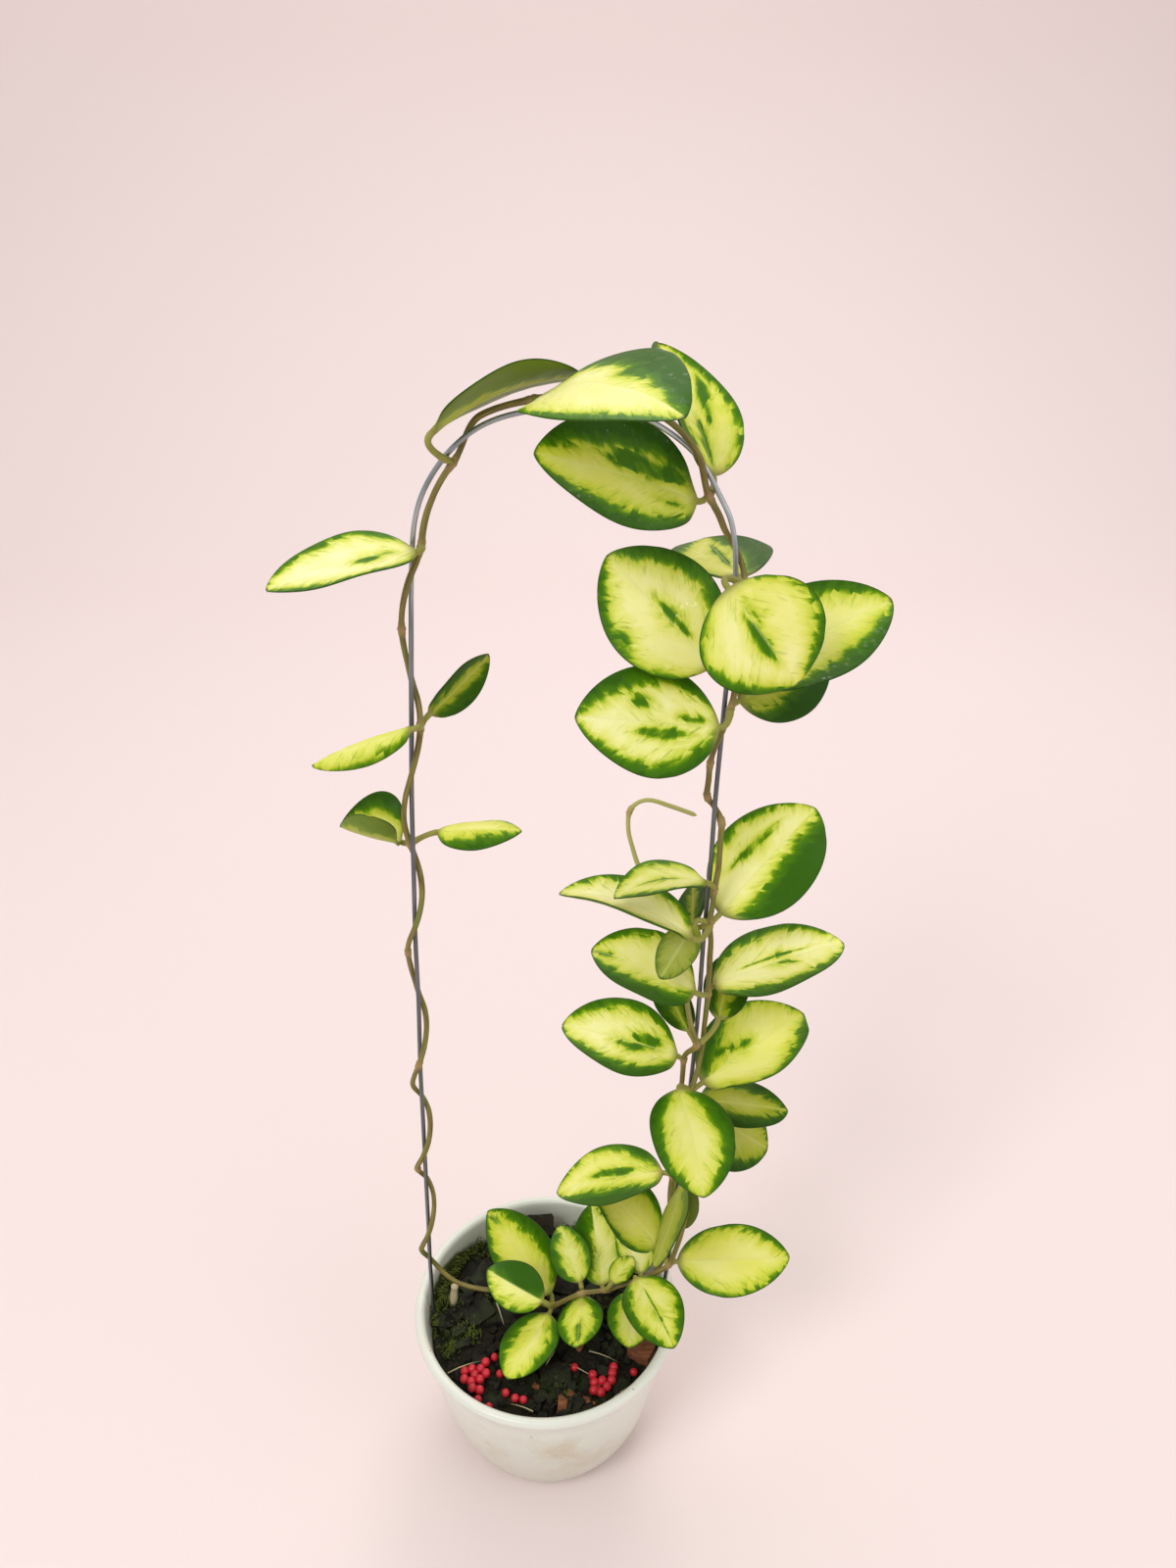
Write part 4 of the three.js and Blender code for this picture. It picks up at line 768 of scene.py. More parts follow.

# How each leaf is marked. The green margin is a share of the half width, at the base, middle and
# tip, first on the side that lies to the left of the midrib when the tip points up, then on the
# right. Then come cream, painted shade and wetness, each from 0 to 1, and the green blotches as
# (place along the blade, place across it, length, width, turn). The places are shares of the
# length and the half width, the sizes are in millimetres and the turn is in degrees.
LEAF_LOOKS = {
    "leaf_arch_1": ((0.6, 0.9, 0.9), (0.4, 0.6, 0.6), (0, 0.25, 0.1), ()),
    "leaf_arch_2": ((0.25, 0.45, 0.7), (0.1, 0.1, 0.3), (0.45, 0, 0.4), ((0.62, 0.35, 10, 5, 20),)),
    "leaf_arch_3": ((0.5, 0.4, 0.5), (0.1, 0.12, 0.3), (0.3, 0, 0.4),
                    ((0.22, -0.02, 16, 3, 0), (0.55, -0.38, 18, 4, -10))),
    "leaf_arch_4": ((0.25, 0.3, 0.3), (0.35, 0.45, 0.5), (0.1, 0.15, 0.7),
                    ((0.34, -0.25, 25, 6, 0), (0.2, 0.25, 8, 2, 0))),
    "leaf_right_1": ((0.12, 0.12, 0.35), (0.35, 0.2, 0.45), (0.5, 0, 0.9),
                     ((0.4, -0.08, 14, 2, 0), (0.55, 0.8, 8, 3, 0))),
    "leaf_right_2": ((0.15, 0.2, 0.4), (0.5, 0.55, 0.6), (0.2, 0, 0.3), ((0.5, 0, 22, 2.5, 0),)),
    "leaf_right_3": ((0.12, 0.1, 0.35), (0.15, 0.12, 0.4), (0.4, 0, 0.3),
                     ((0.5, -0.05, 15, 2.6, 0), (0.25, 0.1, 8, 1.2, 0))),
    "leaf_right_4": ((0.15, 0.2, 0.35), (0.2, 0.3, 0.4), (0.35, 0, 1), ((0.3, 0.1, 8, 2, 0),)),
    "leaf_right_5": ((0.2, 0.2, 0.5), (0.3, 0.6, 0.9), (0.1, 0.4, 0.1), ((0.4, 0.1, 20, 3, 0),)),
    "leaf_right_6": ((0.4, 0.2, 0.25), (0.3, 0.28, 0.45), (0.75, 0, 0.4),
                     ((0.4, 0.18, 17, 3.5, 0), (0.2, -0.1, 8, 2, 0), (0.55, -0.35, 6, 3, 10))),
    "leaf_right_7": ((0.1, 0.12, 0.15), (0.35, 0.6, 0.55), (0.55, 0, 0.2), ((0.5, 0.38, 26, 2.2, -4),)),
    "leaf_right_8": ((0.2, 0.18, 0.2), (0.2, 0.15, 0.2), (0.8, 0.1, 0.1), ()),
    "leaf_right_9": ((0.2, 0.15, 0.3), (0.2, 0.2, 0.2), (0.6, 0.15, 0.1), ((0.5, 0, 12, 1.5, 0),)),
    "leaf_right_10": ((0.6, 0.6, 0.6), (0.5, 0.5, 0.6), (0, 0.7, 0), ()),
    "leaf_right_11": ((0.2, 0.25, 0.3), (0.2, 0.2, 0.3), (0.3, 0.6, 0.1), ()),
    "leaf_right_12": ((0.5, 0.45, 0.35), (0.15, 0.12, 0.3), (0.45, 0.05, 0.1), ((0.88, 0, 6, 2, 0),)),
    "leaf_right_13": ((0.25, 0.18, 0.12), (0.3, 0.28, 0.2), (0.7, 0, 0.2),
                      ((0.5, 0.15, 24, 1.2, 0), (0.55, -0.1, 7, 1.5, -15))),
    "leaf_right_14": ((0.6, 0.6, 0.6), (0.6, 0.6, 0.6), (0, 0.6, 0), ()),
    "leaf_right_15": ((0.6, 0.6, 0.6), (0.5, 0.5, 0.5), (0, 0.6, 0), ()),
    "leaf_right_16": ((0.35, 0.3, 0.35), (0.3, 0.2, 0.3), (0.55, 0, 0.1),
                      ((0.27, -0.12, 12, 5, 0), (0.42, 0.12, 10, 3.5, 0))),
    "leaf_right_17": ((0.7, 0.15, 0.1), (0.12, 0.1, 0.5), (0.15, 0.05, 0.1),
                      ((0.4, 0.18, 9, 3, 0), (0.22, 0.3, 8, 1.5, 0))),
    "leaf_right_18": ((0.35, 0.35, 0.5), (0.5, 0.4, 0.5), (0.1, 0.5, 0.1), ()),
    "leaf_right_19": ((0.45, 0.3, 0.35), (0.45, 0.25, 0.3), (0.3, 0, 0.1), ()),
    "leaf_right_20": ((0.3, 0.3, 0.3), (0.4, 0.3, 0.3), (0.05, 0.45, 0.1), ()),
    "leaf_right_21": ((0.3, 0.5, 0.3), (0.45, 0.12, 0.15), (0.3, 0, 0.1), ((0.45, -0.15, 16, 3.5, 0),)),
    "leaf_right_22": ((0.2, 0.15, 0.2), (0.1, 0.25, 0.6), (0, 0.25, 0.9), ()),
    "leaf_right_23": ((0.1, 0.1, 0.1), (0.6, 0.3, 0.2), (0, 0.35, 0.1), ()),
    "leaf_right_24": ((0.4, 0.4, 0.4), (0.4, 0.4, 0.4), (0, 0.8, 0), ()),
    "leaf_right_25": ((0.2, 0.12, 0.3), (0.25, 0.1, 0.2), (0.15, 0, 0.1), ()),
    "leaf_pot_1": ((0.2, 0.18, 0.25), (0.3, 0.35, 0.4), (0, 0, 0.1), ((0.9, 0, 5, 2, 0),)),
    "leaf_pot_2": ((0.2, 0.15, 0.2), (1.0, 1.05, 0.9), (0.4, 0, 0.1), ()),
    "leaf_pot_3": ((0.4, 0.4, 0.6), (0.3, 0.3, 0.3), (0.5, 0.1, 0.1), ()),
    "leaf_pot_4": ((0.45, 0.65, 0.8), (0.2, 0.2, 0.3), (0.55, 0.05, 0.5), ((0.4, 0.3, 7, 3, 30),)),
    "leaf_pot_5": ((0.2, 0.2, 0.3), (0.2, 0.2, 0.3), (0.4, 0.2, 0.2), ()),
    "leaf_pot_6": ((0.2, 0.15, 0.2), (0.2, 0.15, 0.2), (0.8, 0.15, 0.4), ()),
    "leaf_pot_7": ((0.3, 0.2, 0.5), (0.4, 0.25, 0.45), (0.35, 0, 0.1), ((0.55, 0.05, 18, 0.8, 0),)),
    "leaf_pot_8": ((0.3, 0.2, 0.2), (0.3, 0.3, 0.3), (0.35, 0.1, 0.1), ()),
    "leaf_pot_9": ((0.5, 0.3, 0.35), (0.4, 0.3, 0.4), (0.25, 0, 0.1), ((0.72, 0, 9, 2, 0),)),
    "leaf_pot_10": ((0.45, 0.3, 0.2), (0.4, 0.38, 0.3), (0.2, 0, 0.1), ()),
    "leaf_left_1": ((0.12, 0.1, 0.3), (0.2, 0.15, 0.25), (0.85, 0, 0.6),
                    ((0.32, 0.15, 6, 2.5, 0), (0.2, 0, 4, 1, 0))),
    "leaf_left_2": ((0.5, 0.5, 0.5), (0.5, 0.5, 0.5), (0, 0.5, 0.1), ()),
    "leaf_left_3": ((0.3, 0.25, 0.3), (0.2, 0.2, 0.3), (0.3, 0, 0.1), ()),
    "leaf_left_4": ((0.35, 0.3, 0.3), (0.3, 0.3, 0.3), (0.2, 0.25, 0.1), ()),
    "leaf_left_5": ((0.1, 0.1, 0.2), (0.3, 0.45, 0.6), (0.2, 0, 0.2), ()),
}

# %% [markdown]
# ## The leaf's colours
# The leaf's cells hold chlorophyll only near the margin and in the blotches. The edge between
# green and yellow runs in small teeth along the side veins. So the distance to the green edge,
# worked out on the mesh, is disturbed by noise that is drawn out along the veins, and a colour
# ramp turns the distance into cream, yellow, lime and green.

# %% Hoya leaf with its waxy skin
# A living leaf under a thick cuticle: a broad soft gloss, light that spreads a little inside,
# a groove along the midrib, hardly any relief in the side veins, and a thin dark margin.
# Sizes are in millimetres. DEPTH is how far the colour ramp reaches on each side of the green edge.
TOOTH, TOOTH_LENGTH = 3.6, 8.0
CELL, CELL_LENGTH = 2.0, 3.6
STREAK, STREAK_LENGTH = 0.9, 7.0
MOTTLE, MOTTLE_LENGTH = 0.9, 2.25
DROP, DROP_GROUP = 2.2, 14.0
DEPTH = 8


def at(way):
    """The place on the ramp of a distance in millimetres inside (or, below zero, outside) the green."""
    return (way + DEPTH) / (2 * DEPTH)


GREENS = [(at(0.2), "#94b01a"), (at(0.6), "#6c9406"), (at(1.5), "#487803"), (at(4.5), "#315e02")]

cuticle, tree, shader = new_material("hoya leaf cuticle", IOR=1.45, Specular_IOR_Level=0.16,
                                     Subsurface_Weight=0.12, Subsurface_Scale=1.2 * MM,
                                     Coat_Roughness=0.05, Coat_IOR=1.33)
green_way = add(tree, "Attribute", attribute_name="green", out="Fac")
stalk = add(tree, "Attribute", attribute_name="stalk", out="Fac")
vein_place = add(tree, "Attribute", attribute_name="veins", out="Vector")
form = add(tree, "Attribute", attribute_name="form", out="Vector")
edge_way, rib_way, upper = add(tree, "SeparateXYZ", form, out=slice(3))
tone = add(tree, "Attribute", attribute_name="tone", out="Vector")
cream, shade, wet = add(tree, "SeparateXYZ", tone, out=slice(3))

# %% The leaf's patterns, drawn out along the side veins
tooth_place = add(tree, "VectorMath", vein_place, (1 / TOOTH, 1 / TOOTH_LENGTH, 1), operation="MULTIPLY")
teeth = add(tree, "TexNoise", {"Vector": tooth_place, "Scale": 1, "Detail": 3, "Roughness": 0.6})
mottle_place = add(tree, "VectorMath", vein_place, (1 / MOTTLE, 1 / MOTTLE_LENGTH, 1), operation="MULTIPLY")
mottle = add(tree, "TexNoise", {"Vector": mottle_place, "Scale": 1, "Detail": 4, "Roughness": 0.65})
cloud_place = add(tree, "VectorMath", vein_place, (0.09, 0.05, 1), operation="MULTIPLY")
clouds = add(tree, "TexNoise", {"Vector": cloud_place, "Scale": 1, "Detail": 2, "Roughness": 0.55})
streak_place = add(tree, "VectorMath", vein_place, (1 / STREAK, 1 / STREAK_LENGTH, 1), operation="MULTIPLY")
streaks = add(tree, "TexNoise", {"Vector": streak_place, "Scale": 1, "Detail": 3, "Roughness": 0.6})
cell_place = add(tree, "VectorMath", vein_place, (1 / CELL, 1 / CELL_LENGTH, 1), operation="MULTIPLY")
cells = add(tree, "TexVoronoi", {"Vector": cell_place, "Scale": 1}, out="Color")
cell = add(tree, "SeparateXYZ", cells)

# Teeth, cells and mottle move the green edge by up to 1.8, 1 and 0.6 mm to either side.
ragged = add(tree, "Math", teeth, 3.6, -1.8, operation="MULTIPLY_ADD")
ragged = add(tree, "Math", ragged, -1.0, operation="ADD")
ragged = add(tree, "Math", cell, 2.0, ragged, operation="MULTIPLY_ADD")
ragged = add(tree, "Math", ragged, -0.6, operation="ADD")
ragged = add(tree, "Math", mottle, 1.2, ragged, operation="MULTIPLY_ADD")
distance = add(tree, "Math", green_way, ragged, operation="ADD")
ramp_place = add(tree, "MapRange", distance, -DEPTH, DEPTH)

# %% The leaf's colours, from cream to dark green
yellow = add(tree, "ValToRGB", ramp_place, stops=[
    (at(-6), "#e3e26a"), (at(-2.5), "#d5da48"), (at(-0.5), "#c0cb32"), *GREENS])
pale = add(tree, "ValToRGB", ramp_place, stops=[
    (at(-6), "#f6f4b8"), (at(-2.5), "#eceb90"), (at(-0.5), "#cfd753"), *GREENS])
creamy = add(tree, "Math", clouds, 0.9, -0.45, operation="MULTIPLY_ADD")
creamy = add(tree, "MapRange", add(tree, "Math", cream, creamy, operation="ADD"), 0, 1)
colour = add(tree, "Mix", {0: creamy, 6: yellow, 7: pale}, **BLEND)
near_green = add(tree, "MapRange", distance, -6.0, -1.0, 0.05, 0.6)
fleck = add(tree, "Math", add(tree, "MapRange", streaks, 0.58, 0.66), near_green, operation="MULTIPLY")
fleck = add(tree, "Math", fleck, add(tree, "MapRange", distance, 1.2, 0.2), operation="MULTIPLY")
colour = add(tree, "Mix", {0: fleck, 6: colour, 7: "#8fa81c"}, **BLEND)

# Painted shade dulls a leaf that lies in the shade of others; every leaf's underside is duller too.
dusk = add(tree, "Mix", {0: 1, 6: colour, 7: "#7f8a38"}, blend_type="MULTIPLY", **BLEND)
colour = add(tree, "Mix", {0: shade, 6: colour, 7: dusk}, **BLEND)
under = add(tree, "Mix", {0: 0.45, 6: colour, 7: "#8d9a3e"}, **BLEND)
colour = add(tree, "Mix", {0: upper, 6: under, 7: colour}, **BLEND)
rib_line = add(tree, "Math", add(tree, "MapRange", rib_way, 0.55, 0.1), 0.28, operation="MULTIPLY")
colour = add(tree, "Mix", {0: rib_line, 6: colour, 7: "#d9df8a"}, **BLEND)
wear_and_painted_shade = add(tree, "Math", mottle, 0.5, -0.25, operation="MULTIPLY_ADD")
margin = add(tree, "MapRange", add(tree, "Math", edge_way, wear_and_painted_shade, operation="ADD"), 0.5, 0.1)
margin = add(tree, "Math", margin, 0.85, operation="MULTIPLY")
colour = add(tree, "Mix", {0: margin, 6: colour, 7: "#25480c"}, **BLEND)
stalk_colour = add(tree, "Mix", {0: mottle, 6: "#7d8436", 7: "#a39a55"}, **BLEND)
colour = add(tree, "Mix", {0: stalk, 6: colour, 7: stalk_colour}, **BLEND)
tree.links.new(colour, shader.inputs["Base Color"])

# %% The leaf's gloss, its relief and the water on it
# After watering, drops stand on the wax in groups. They are a clear coat of their own.
droplets = add(tree, "TexVoronoi", {"Vector": vein_place, "Scale": 1 / DROP})
group = add(tree, "TexNoise", {"Vector": vein_place, "Scale": 1 / DROP_GROUP, "Detail": 1, "Roughness": 0.55})
wetted = add(tree, "Math", add(tree, "MapRange", group, 0.38, 0.5), wet, operation="MULTIPLY")
drop = add(tree, "Math", add(tree, "MapRange", droplets, 0.4, 0.24), wetted, operation="MULTIPLY")
water = add(tree, "Math", drop, 0.9, operation="MULTIPLY")
tree.links.new(water, shader.inputs["Coat Weight"])
dome = add(tree, "Bump", {"Height": drop, "Strength": 1, "Distance": 1.2 * MM})
tree.links.new(dome, shader.inputs["Coat Normal"])
wax = add(tree, "Math", mottle, 0.16, 0.34, operation="MULTIPLY_ADD")
tree.links.new(wax, shader.inputs["Roughness"])
height = add(tree, "Math", mottle, 0.5, operation="MULTIPLY")
height = add(tree, "Math", teeth, 0.6, height, operation="MULTIPLY_ADD")
relief = add(tree, "Bump", {"Height": height, "Strength": 0.35, "Distance": 0.25 * MM})
tree.links.new(relief, shader.inputs["Normal"])

# %% [markdown]
# ## The leaf's form
# The blade could be modelled from a plane. It is a formula here, because 44 leaves share
# it: the half width rises and falls along the blade, the section curls up as an arc, the midrib
# bends as an arc, and the stalk is a round rod that flattens into the blade.

# %% Leaf form
BASE_FULLNESS, TIP_FULLNESS = 0.6, 0.7
WIDEST = BASE_FULLNESS / (BASE_FULLNESS + TIP_FULLNESS)
PROFILE_PEAK = WIDEST ** BASE_FULLNESS * (1 - WIDEST) ** TIP_FULLNESS
STALK_BEND = 0.4
STALK_ROWS, BLADE_ROWS, FACE_COLUMNS = 10, 60, 31
VEIN_ANGLE = math.radians(38)
BLOTCH_DEPTH, MARGIN_GAIN = 1.7, 1.3

# Places across the blade from margin to margin, closest at the midrib and at both margins.
even = np.linspace(-1, 1, FACE_COLUMNS)
across_places = even - 0.7 / (2 * np.pi) * np.sin(2 * np.pi * even)
ring_across = np.concatenate([across_places, across_places[-2:0:-1]])
ring_side = np.concatenate([[0], -np.ones(FACE_COLUMNS - 2), [0], np.ones(FACE_COLUMNS - 2)])


def leaf_frame(heading, rise, roll):
    """The leaf's unit directions: along the blade, across it, and out of its upper face."""
    h, r, turn = (math.radians(value) for value in (heading, rise, roll))
    along = np.array([math.cos(r) * math.cos(h), math.cos(r) * math.sin(h), math.sin(r)])
    level = np.array([-math.sin(h), math.cos(h), 0])
    steep = np.cross(along, level)
    across = level * math.cos(turn) + steep * math.sin(turn)
    return along, across, steep * math.cos(turn) - level * math.sin(turn)


def midrib(t, base, along, up, length, bend):
    """Points of the midrib, an arc of the given length, with its forward and upward directions."""
    slope = bend * (0.5 - t)[:, None]
    forward = along * np.cos(slope) + up * np.sin(slope)
    upward = up * np.cos(slope) - along * np.sin(slope)
    run = along * (math.sin(bend / 2) - np.sin(slope)) + up * (np.cos(slope) - math.cos(bend / 2))
    return base + run * length / bend, forward, upward


def stalk_path(node, base, first_way, across):
    """Points, sides and tops of the stalk, a bend of three points from the stem to the blade.

    Its rings keep the turn of the blade's first ring, carried back one row at a time.
    """
    bend_point = base - STALK_BEND * np.linalg.norm(base - node) * first_way
    root = node + 0.5 * VINE_RADIUS * unit(bend_point - node)
    p = np.linspace(0, 1, STALK_ROWS, endpoint=False)[:, None]
    points = (1 - p) ** 2 * root + 2 * p * (1 - p) * bend_point + p ** 2 * base
    ways = unit((1 - p) * (bend_point - root) + p * (base - bend_point))
    sides, side = [], across
    for way in ways[::-1]:
        side = unit(side - side.dot(way) * way)
        sides.append(side)
    sides = np.array(sides[::-1])
    return points, sides, np.cross(ways, sides), p[:, 0]


def three_values(t, values):
    """The parabola through three values, which belong to the places 0.1, 0.5 and 0.9."""
    first, middle, last = values
    u = (t - 0.5) / 0.4
    return middle + u * (last - first) / 2 + u ** 2 * ((first + last) / 2 - middle)


def green_distance(t, v, half_width, length, look):
    """Millimetres inside the green: how far past the margin's inner edge, or inside a blotch."""
    left, right, _, blotches = look
    share = MARGIN_GAIN * np.clip(np.where(v > 0, three_values(t, left), three_values(t, right)), 0.04, 1.2)
    green = half_width * (np.abs(v) - 1 + share)
    for place, side, long, wide, turn in blotches:
        x, y = (t - place) * length, v * half_width - side * half_width.max()
        c, s = math.cos(math.radians(turn)), math.sin(math.radians(turn))
        reach = np.hypot((x * c + y * s) * 2 / long, (y * c - x * s) * 2 / wide) + 1e-6
        green = np.maximum(green, np.minimum((1 - reach) * np.hypot(x, y) / reach, BLOTCH_DEPTH))
    return green


def leaf_arrays(row, look, random):
    """Rings of one leaf, stalk and blade, with the attributes that its material reads."""
    _, node_name, base, heading, rise, roll, length, width, bend, curl = row
    base = np.array(base, float)
    along, across, up = leaf_frame(heading, rise, roll)
    bend = math.radians(bend) or 1e-3
    t = (1 - np.cos(np.pi * np.linspace(0, 1, BLADE_ROWS))) / 2
    middles, forward, upward = midrib(t, base, along, up, length, bend)
    profile = t ** BASE_FULLNESS * (1 - t) ** TIP_FULLNESS / PROFILE_PEAK
    at_base = closeness(t, 0, 0.06)
    half_width = np.hypot(width / 2 * profile, STALK_RADIUS * at_base) + 0.15 * closeness(t, 1, 0.02)
    middle_half = BLADE_THICKNESS / 2 * (1 - 0.6 * t ** 9) + (STALK_RADIUS - BLADE_THICKNESS / 2) * at_base
    edge_power = 0.2 + 0.3 * at_base
    bound = half_width / BLADE_THICKNESS
    arc = np.clip(math.radians(curl) * (1 - at_base), -bound, bound)
    arc = np.where(np.abs(arc) < 1e-3, 1e-3, arc)[:, None]

    v, side = ring_across, ring_side
    y = half_width[:, None] * v
    half = middle_half[:, None] * (1 - v ** 2) ** edge_power[:, None] * (1 - 0.2 * v ** 2)
    phase = random.uniform(0, 2 * np.pi, 3)
    wave_size = min(0.45, width / 70) * (1 - at_base)[:, None]
    wave = wave_size * v ** 2 * np.sin(2 * np.pi * 1.6 * t[:, None] + np.where(v > 0, phase[0], phase[1]))
    x = t[:, None] * length + 0 * v
    across_veins = x * math.sin(VEIN_ANGLE) - np.abs(y) * math.cos(VEIN_ANGLE)
    along_veins = x * math.cos(VEIN_ANGLE) + np.abs(y) * math.sin(VEIN_ANGLE)
    quilt = 0.05 * np.sin(2 * np.pi * across_veins / 4.6 + phase[2]) * np.sin(np.pi * np.abs(v)) ** 2
    groove = closeness(y, 0, 0.75) * (1 - at_base)[:, None] * (1 - 0.8 * t[:, None] ** 2)
    lift = side * half + wave + quilt - np.where(side > 0, 0.26, 0.3) * groove
    width_arc = half_width[:, None] / arc - lift
    rings = (middles[:, None] + (width_arc * np.sin(arc * v))[..., None] * across
             + (half_width[:, None] / arc - width_arc * np.cos(arc * v))[..., None] * upward[:, None])

    points, sides, tops, p = stalk_path(stem_nodes[node_name], base, forward[0], across)
    radius = STALK_RADIUS * (1 + 0.3 * closeness(p, 0, 0.2) + 0.1 * closeness(p, 1, 0.25))[:, None]
    stalk_rings = (points[:, None] + (radius * v)[..., None] * sides[:, None]
                   + (radius * side * np.sqrt(1 - v ** 2))[..., None] * tops[:, None])

    def whole(blade, stalk_value):
        """Values on the blade with one value, or the first ring's, on the stalk."""
        before = np.broadcast_to(blade[:1] if stalk_value is None else np.float64(stalk_value),
                                 (STALK_ROWS, blade.shape[1]))
        return with_ends(np.concatenate([before, blade]))

    flat = np.zeros_like(y)
    seed = random.uniform(0, 400)
    edge = np.minimum(half_width[:, None] * (1 - np.abs(v)), (1 - t[:, None]) * length * 0.5 + flat)
    stalk_place = np.concatenate([-length * (1 - p)[:, None] * 0.2 + np.zeros((STALK_ROWS, len(v))), x])
    veins = np.stack([whole(across_veins, None), with_ends(stalk_place * 0.5) + whole(along_veins * 0.5, 0),
                      whole(flat + seed + np.where(v > 0, 9.0, 0.0), None)], axis=1)
    form = np.stack([whole(edge, 5), whole(np.abs(y), 5), whole(flat + (side + 1) / 2, 1)], axis=1)
    tone = np.broadcast_to(np.array(look[2], float), form.shape)
    green = whole(green_distance(t[:, None] + flat, v + flat, half_width[:, None] + flat, length, look), 0)
    stalk = whole(closeness(t, 0, 0.05)[:, None] + flat, 1)
    attributes = dict(green=green, veins=veins, form=form, tone=tone, stalk=stalk)
    return np.concatenate([stalk_rings, rings]), attributes


def inside_box(points, node):
    """The points held inside the box of the node that they stand for."""
    low, high = (np.array(corner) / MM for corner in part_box(node))
    return np.clip(points, low, high)


random = np.random.default_rng(44)
for row in LEAVES:
    rings, attributes = leaf_arrays(row, LEAF_LOOKS[row[0]], random)
    points, faces = skin(inside_box(rings, row[0]))
    finish_piece(add_mesh(row[0] + "_waxy", points, faces, cuticle, **attributes), "leaf", row[0])

# %% [markdown]
# ## What lies on the soil
# Two heaps of round red feed pellets lie at the front, and a few pellets have rolled away. A
# sphere primitive could be copied one by one, but a heap grows by a rule here: each new pellet
# leans on one that is already there. A piece of coconut husk and the dry stub of a cut stem
# stand beside them.

# %% Feed pellets
# Resin-coated feed, rolled in a drum: round, red and smooth, with a slightly uneven skin.
resin, tree, shader = new_material("resin-coated feed", Subsurface_Weight=0.2, Subsurface_Scale=1 * MM)
place = add(tree, "TexCoord", out="Object")
skin_cloud = add(tree, "TexNoise", {"Vector": place, "Scale": 900, "Detail": 3, "Roughness": 0.55})
tint = add(tree, "TexNoise", {"Vector": place, "Scale": 260, "Detail": 1, "Roughness": 0.55})
colour = add(tree, "Mix", {0: tint, 6: "#a3121f", 7: "#dc2b3b"}, **BLEND)
tree.links.new(colour, shader.inputs["Base Color"])
dull = add(tree, "MapRange", skin_cloud, 0.3, 0.7, 0.26, 0.5)
tree.links.new(dull, shader.inputs["Roughness"])
pits = add(tree, "Bump", {"Height": skin_cloud, "Strength": 0.3, "Distance": 0.2 * MM})
tree.links.new(pits, shader.inputs["Normal"])

PELLET_SPACING, PELLET_LIFT = 2.8, 0.7
HEAP_EDGE = POT_BASE_RADIUS + 8.5
latitudes = np.linspace(-np.pi / 2, np.pi / 2, 10)[1:-1]
ball_rings = lathed(np.stack([np.cos(latitudes), np.sin(latitudes)], axis=1), 14)


def seeded_draws(state):
    """An endless row of numbers from 0 to 1: each state is the last one times a factor plus a step."""
    while True:
        state = (state * 1664525 + 1013904223) % 2 ** 32
        yield state / 2 ** 32


def heap_places(start, count, seed):
    """Places of the pellets in a heap: each new one leans on one that is already there."""
    draws = seeded_draws(seed)
    places = [start]
    while len(places) < count:
        near = places[int(next(draws) * len(places))]
        angle = 2 * math.pi * next(draws)
        new = (near[0] + PELLET_SPACING * math.cos(angle), near[1] + PELLET_SPACING * math.sin(angle))
        apart = min(math.dist(new, other) for other in places)
        if apart > 0.95 * PELLET_SPACING and math.hypot(*new) < HEAP_EDGE:
            places.append(new)
    return places


def pellets(name, places, radius, lift):
    """Balls of a radius at places on the soil, as one piece."""
    balls = []
    for x, y in places:
        points, faces = skin(ball_rings * radius)
        balls.append((points + [x, y, soil_height(x, y) + radius + lift], faces))
    return add_mesh(name, *joined(balls), resin)


left_heap, right_heap = heap_places((-27, -26), 11, 21), heap_places((25, -24), 9, 5)
finish_piece(pellets("feed_pellets_left", left_heap, PELLET_RADIUS, PELLET_LIFT), "pellet", "pellets_left")
finish_piece(pellets("feed_pellets_right", right_heap, PELLET_RADIUS, PELLET_LIFT), "pellet", "pellets_right")
STRAYS = [(-19, -17), (-16.5, -24), (-14, -31), (-10.5, -33), (-7.5, -33.5), (-24, -33), (-20, -35.5),
          (11, -20), (33, -22), (20, -30)]
STRAY_RADIUS, STRAY_LIFT = 1.5, 0.3
finish_piece(pellets("stray_pellets", STRAYS, STRAY_RADIUS, STRAY_LIFT), "pellet")

# %% Husk
# Coconut husk, torn from the shell: a brown block of coarse fibres that lie one way.
husk_fibre, tree, shader = new_material("coconut husk", Roughness=0.9)
place = add(tree, "TexCoord", out="Object")
combed = add(tree, "VectorMath", place, (0.25, 1, 1), operation="MULTIPLY")
fibres = add(tree, "TexNoise", {"Vector": combed, "Scale": 500, "Detail": 5, "Roughness": 0.7})
colour = add(tree, "ValToRGB", fibres, stops=[(0.3, "#4a2815"), (0.55, "#85502c"), (0.8, "#b07a49")])
tree.links.new(colour, shader.inputs["Base Color"])
strands = add(tree, "Bump", {"Height": fibres, "Strength": 0.8, "Distance": 0.5 * MM})
tree.links.new(strands, shader.inputs["Normal"])

HUSK_PLACE, HUSK_SIZE = (36, -16, 60), (9, 6.5, 6)
random = np.random.default_rng(3)
points, squares = rough_block(random, HUSK_SIZE, 8, 0.05, 0.15)
points = points @ turned(math.radians(-30), 2).T + HUSK_PLACE
husk = add_mesh("coconut_husk", points, squares.tolist(), husk_fibre)
husk.data.set_sharp_from_angle(angle=math.radians(40))
finish_piece(husk, "husk", "husk_chunk")

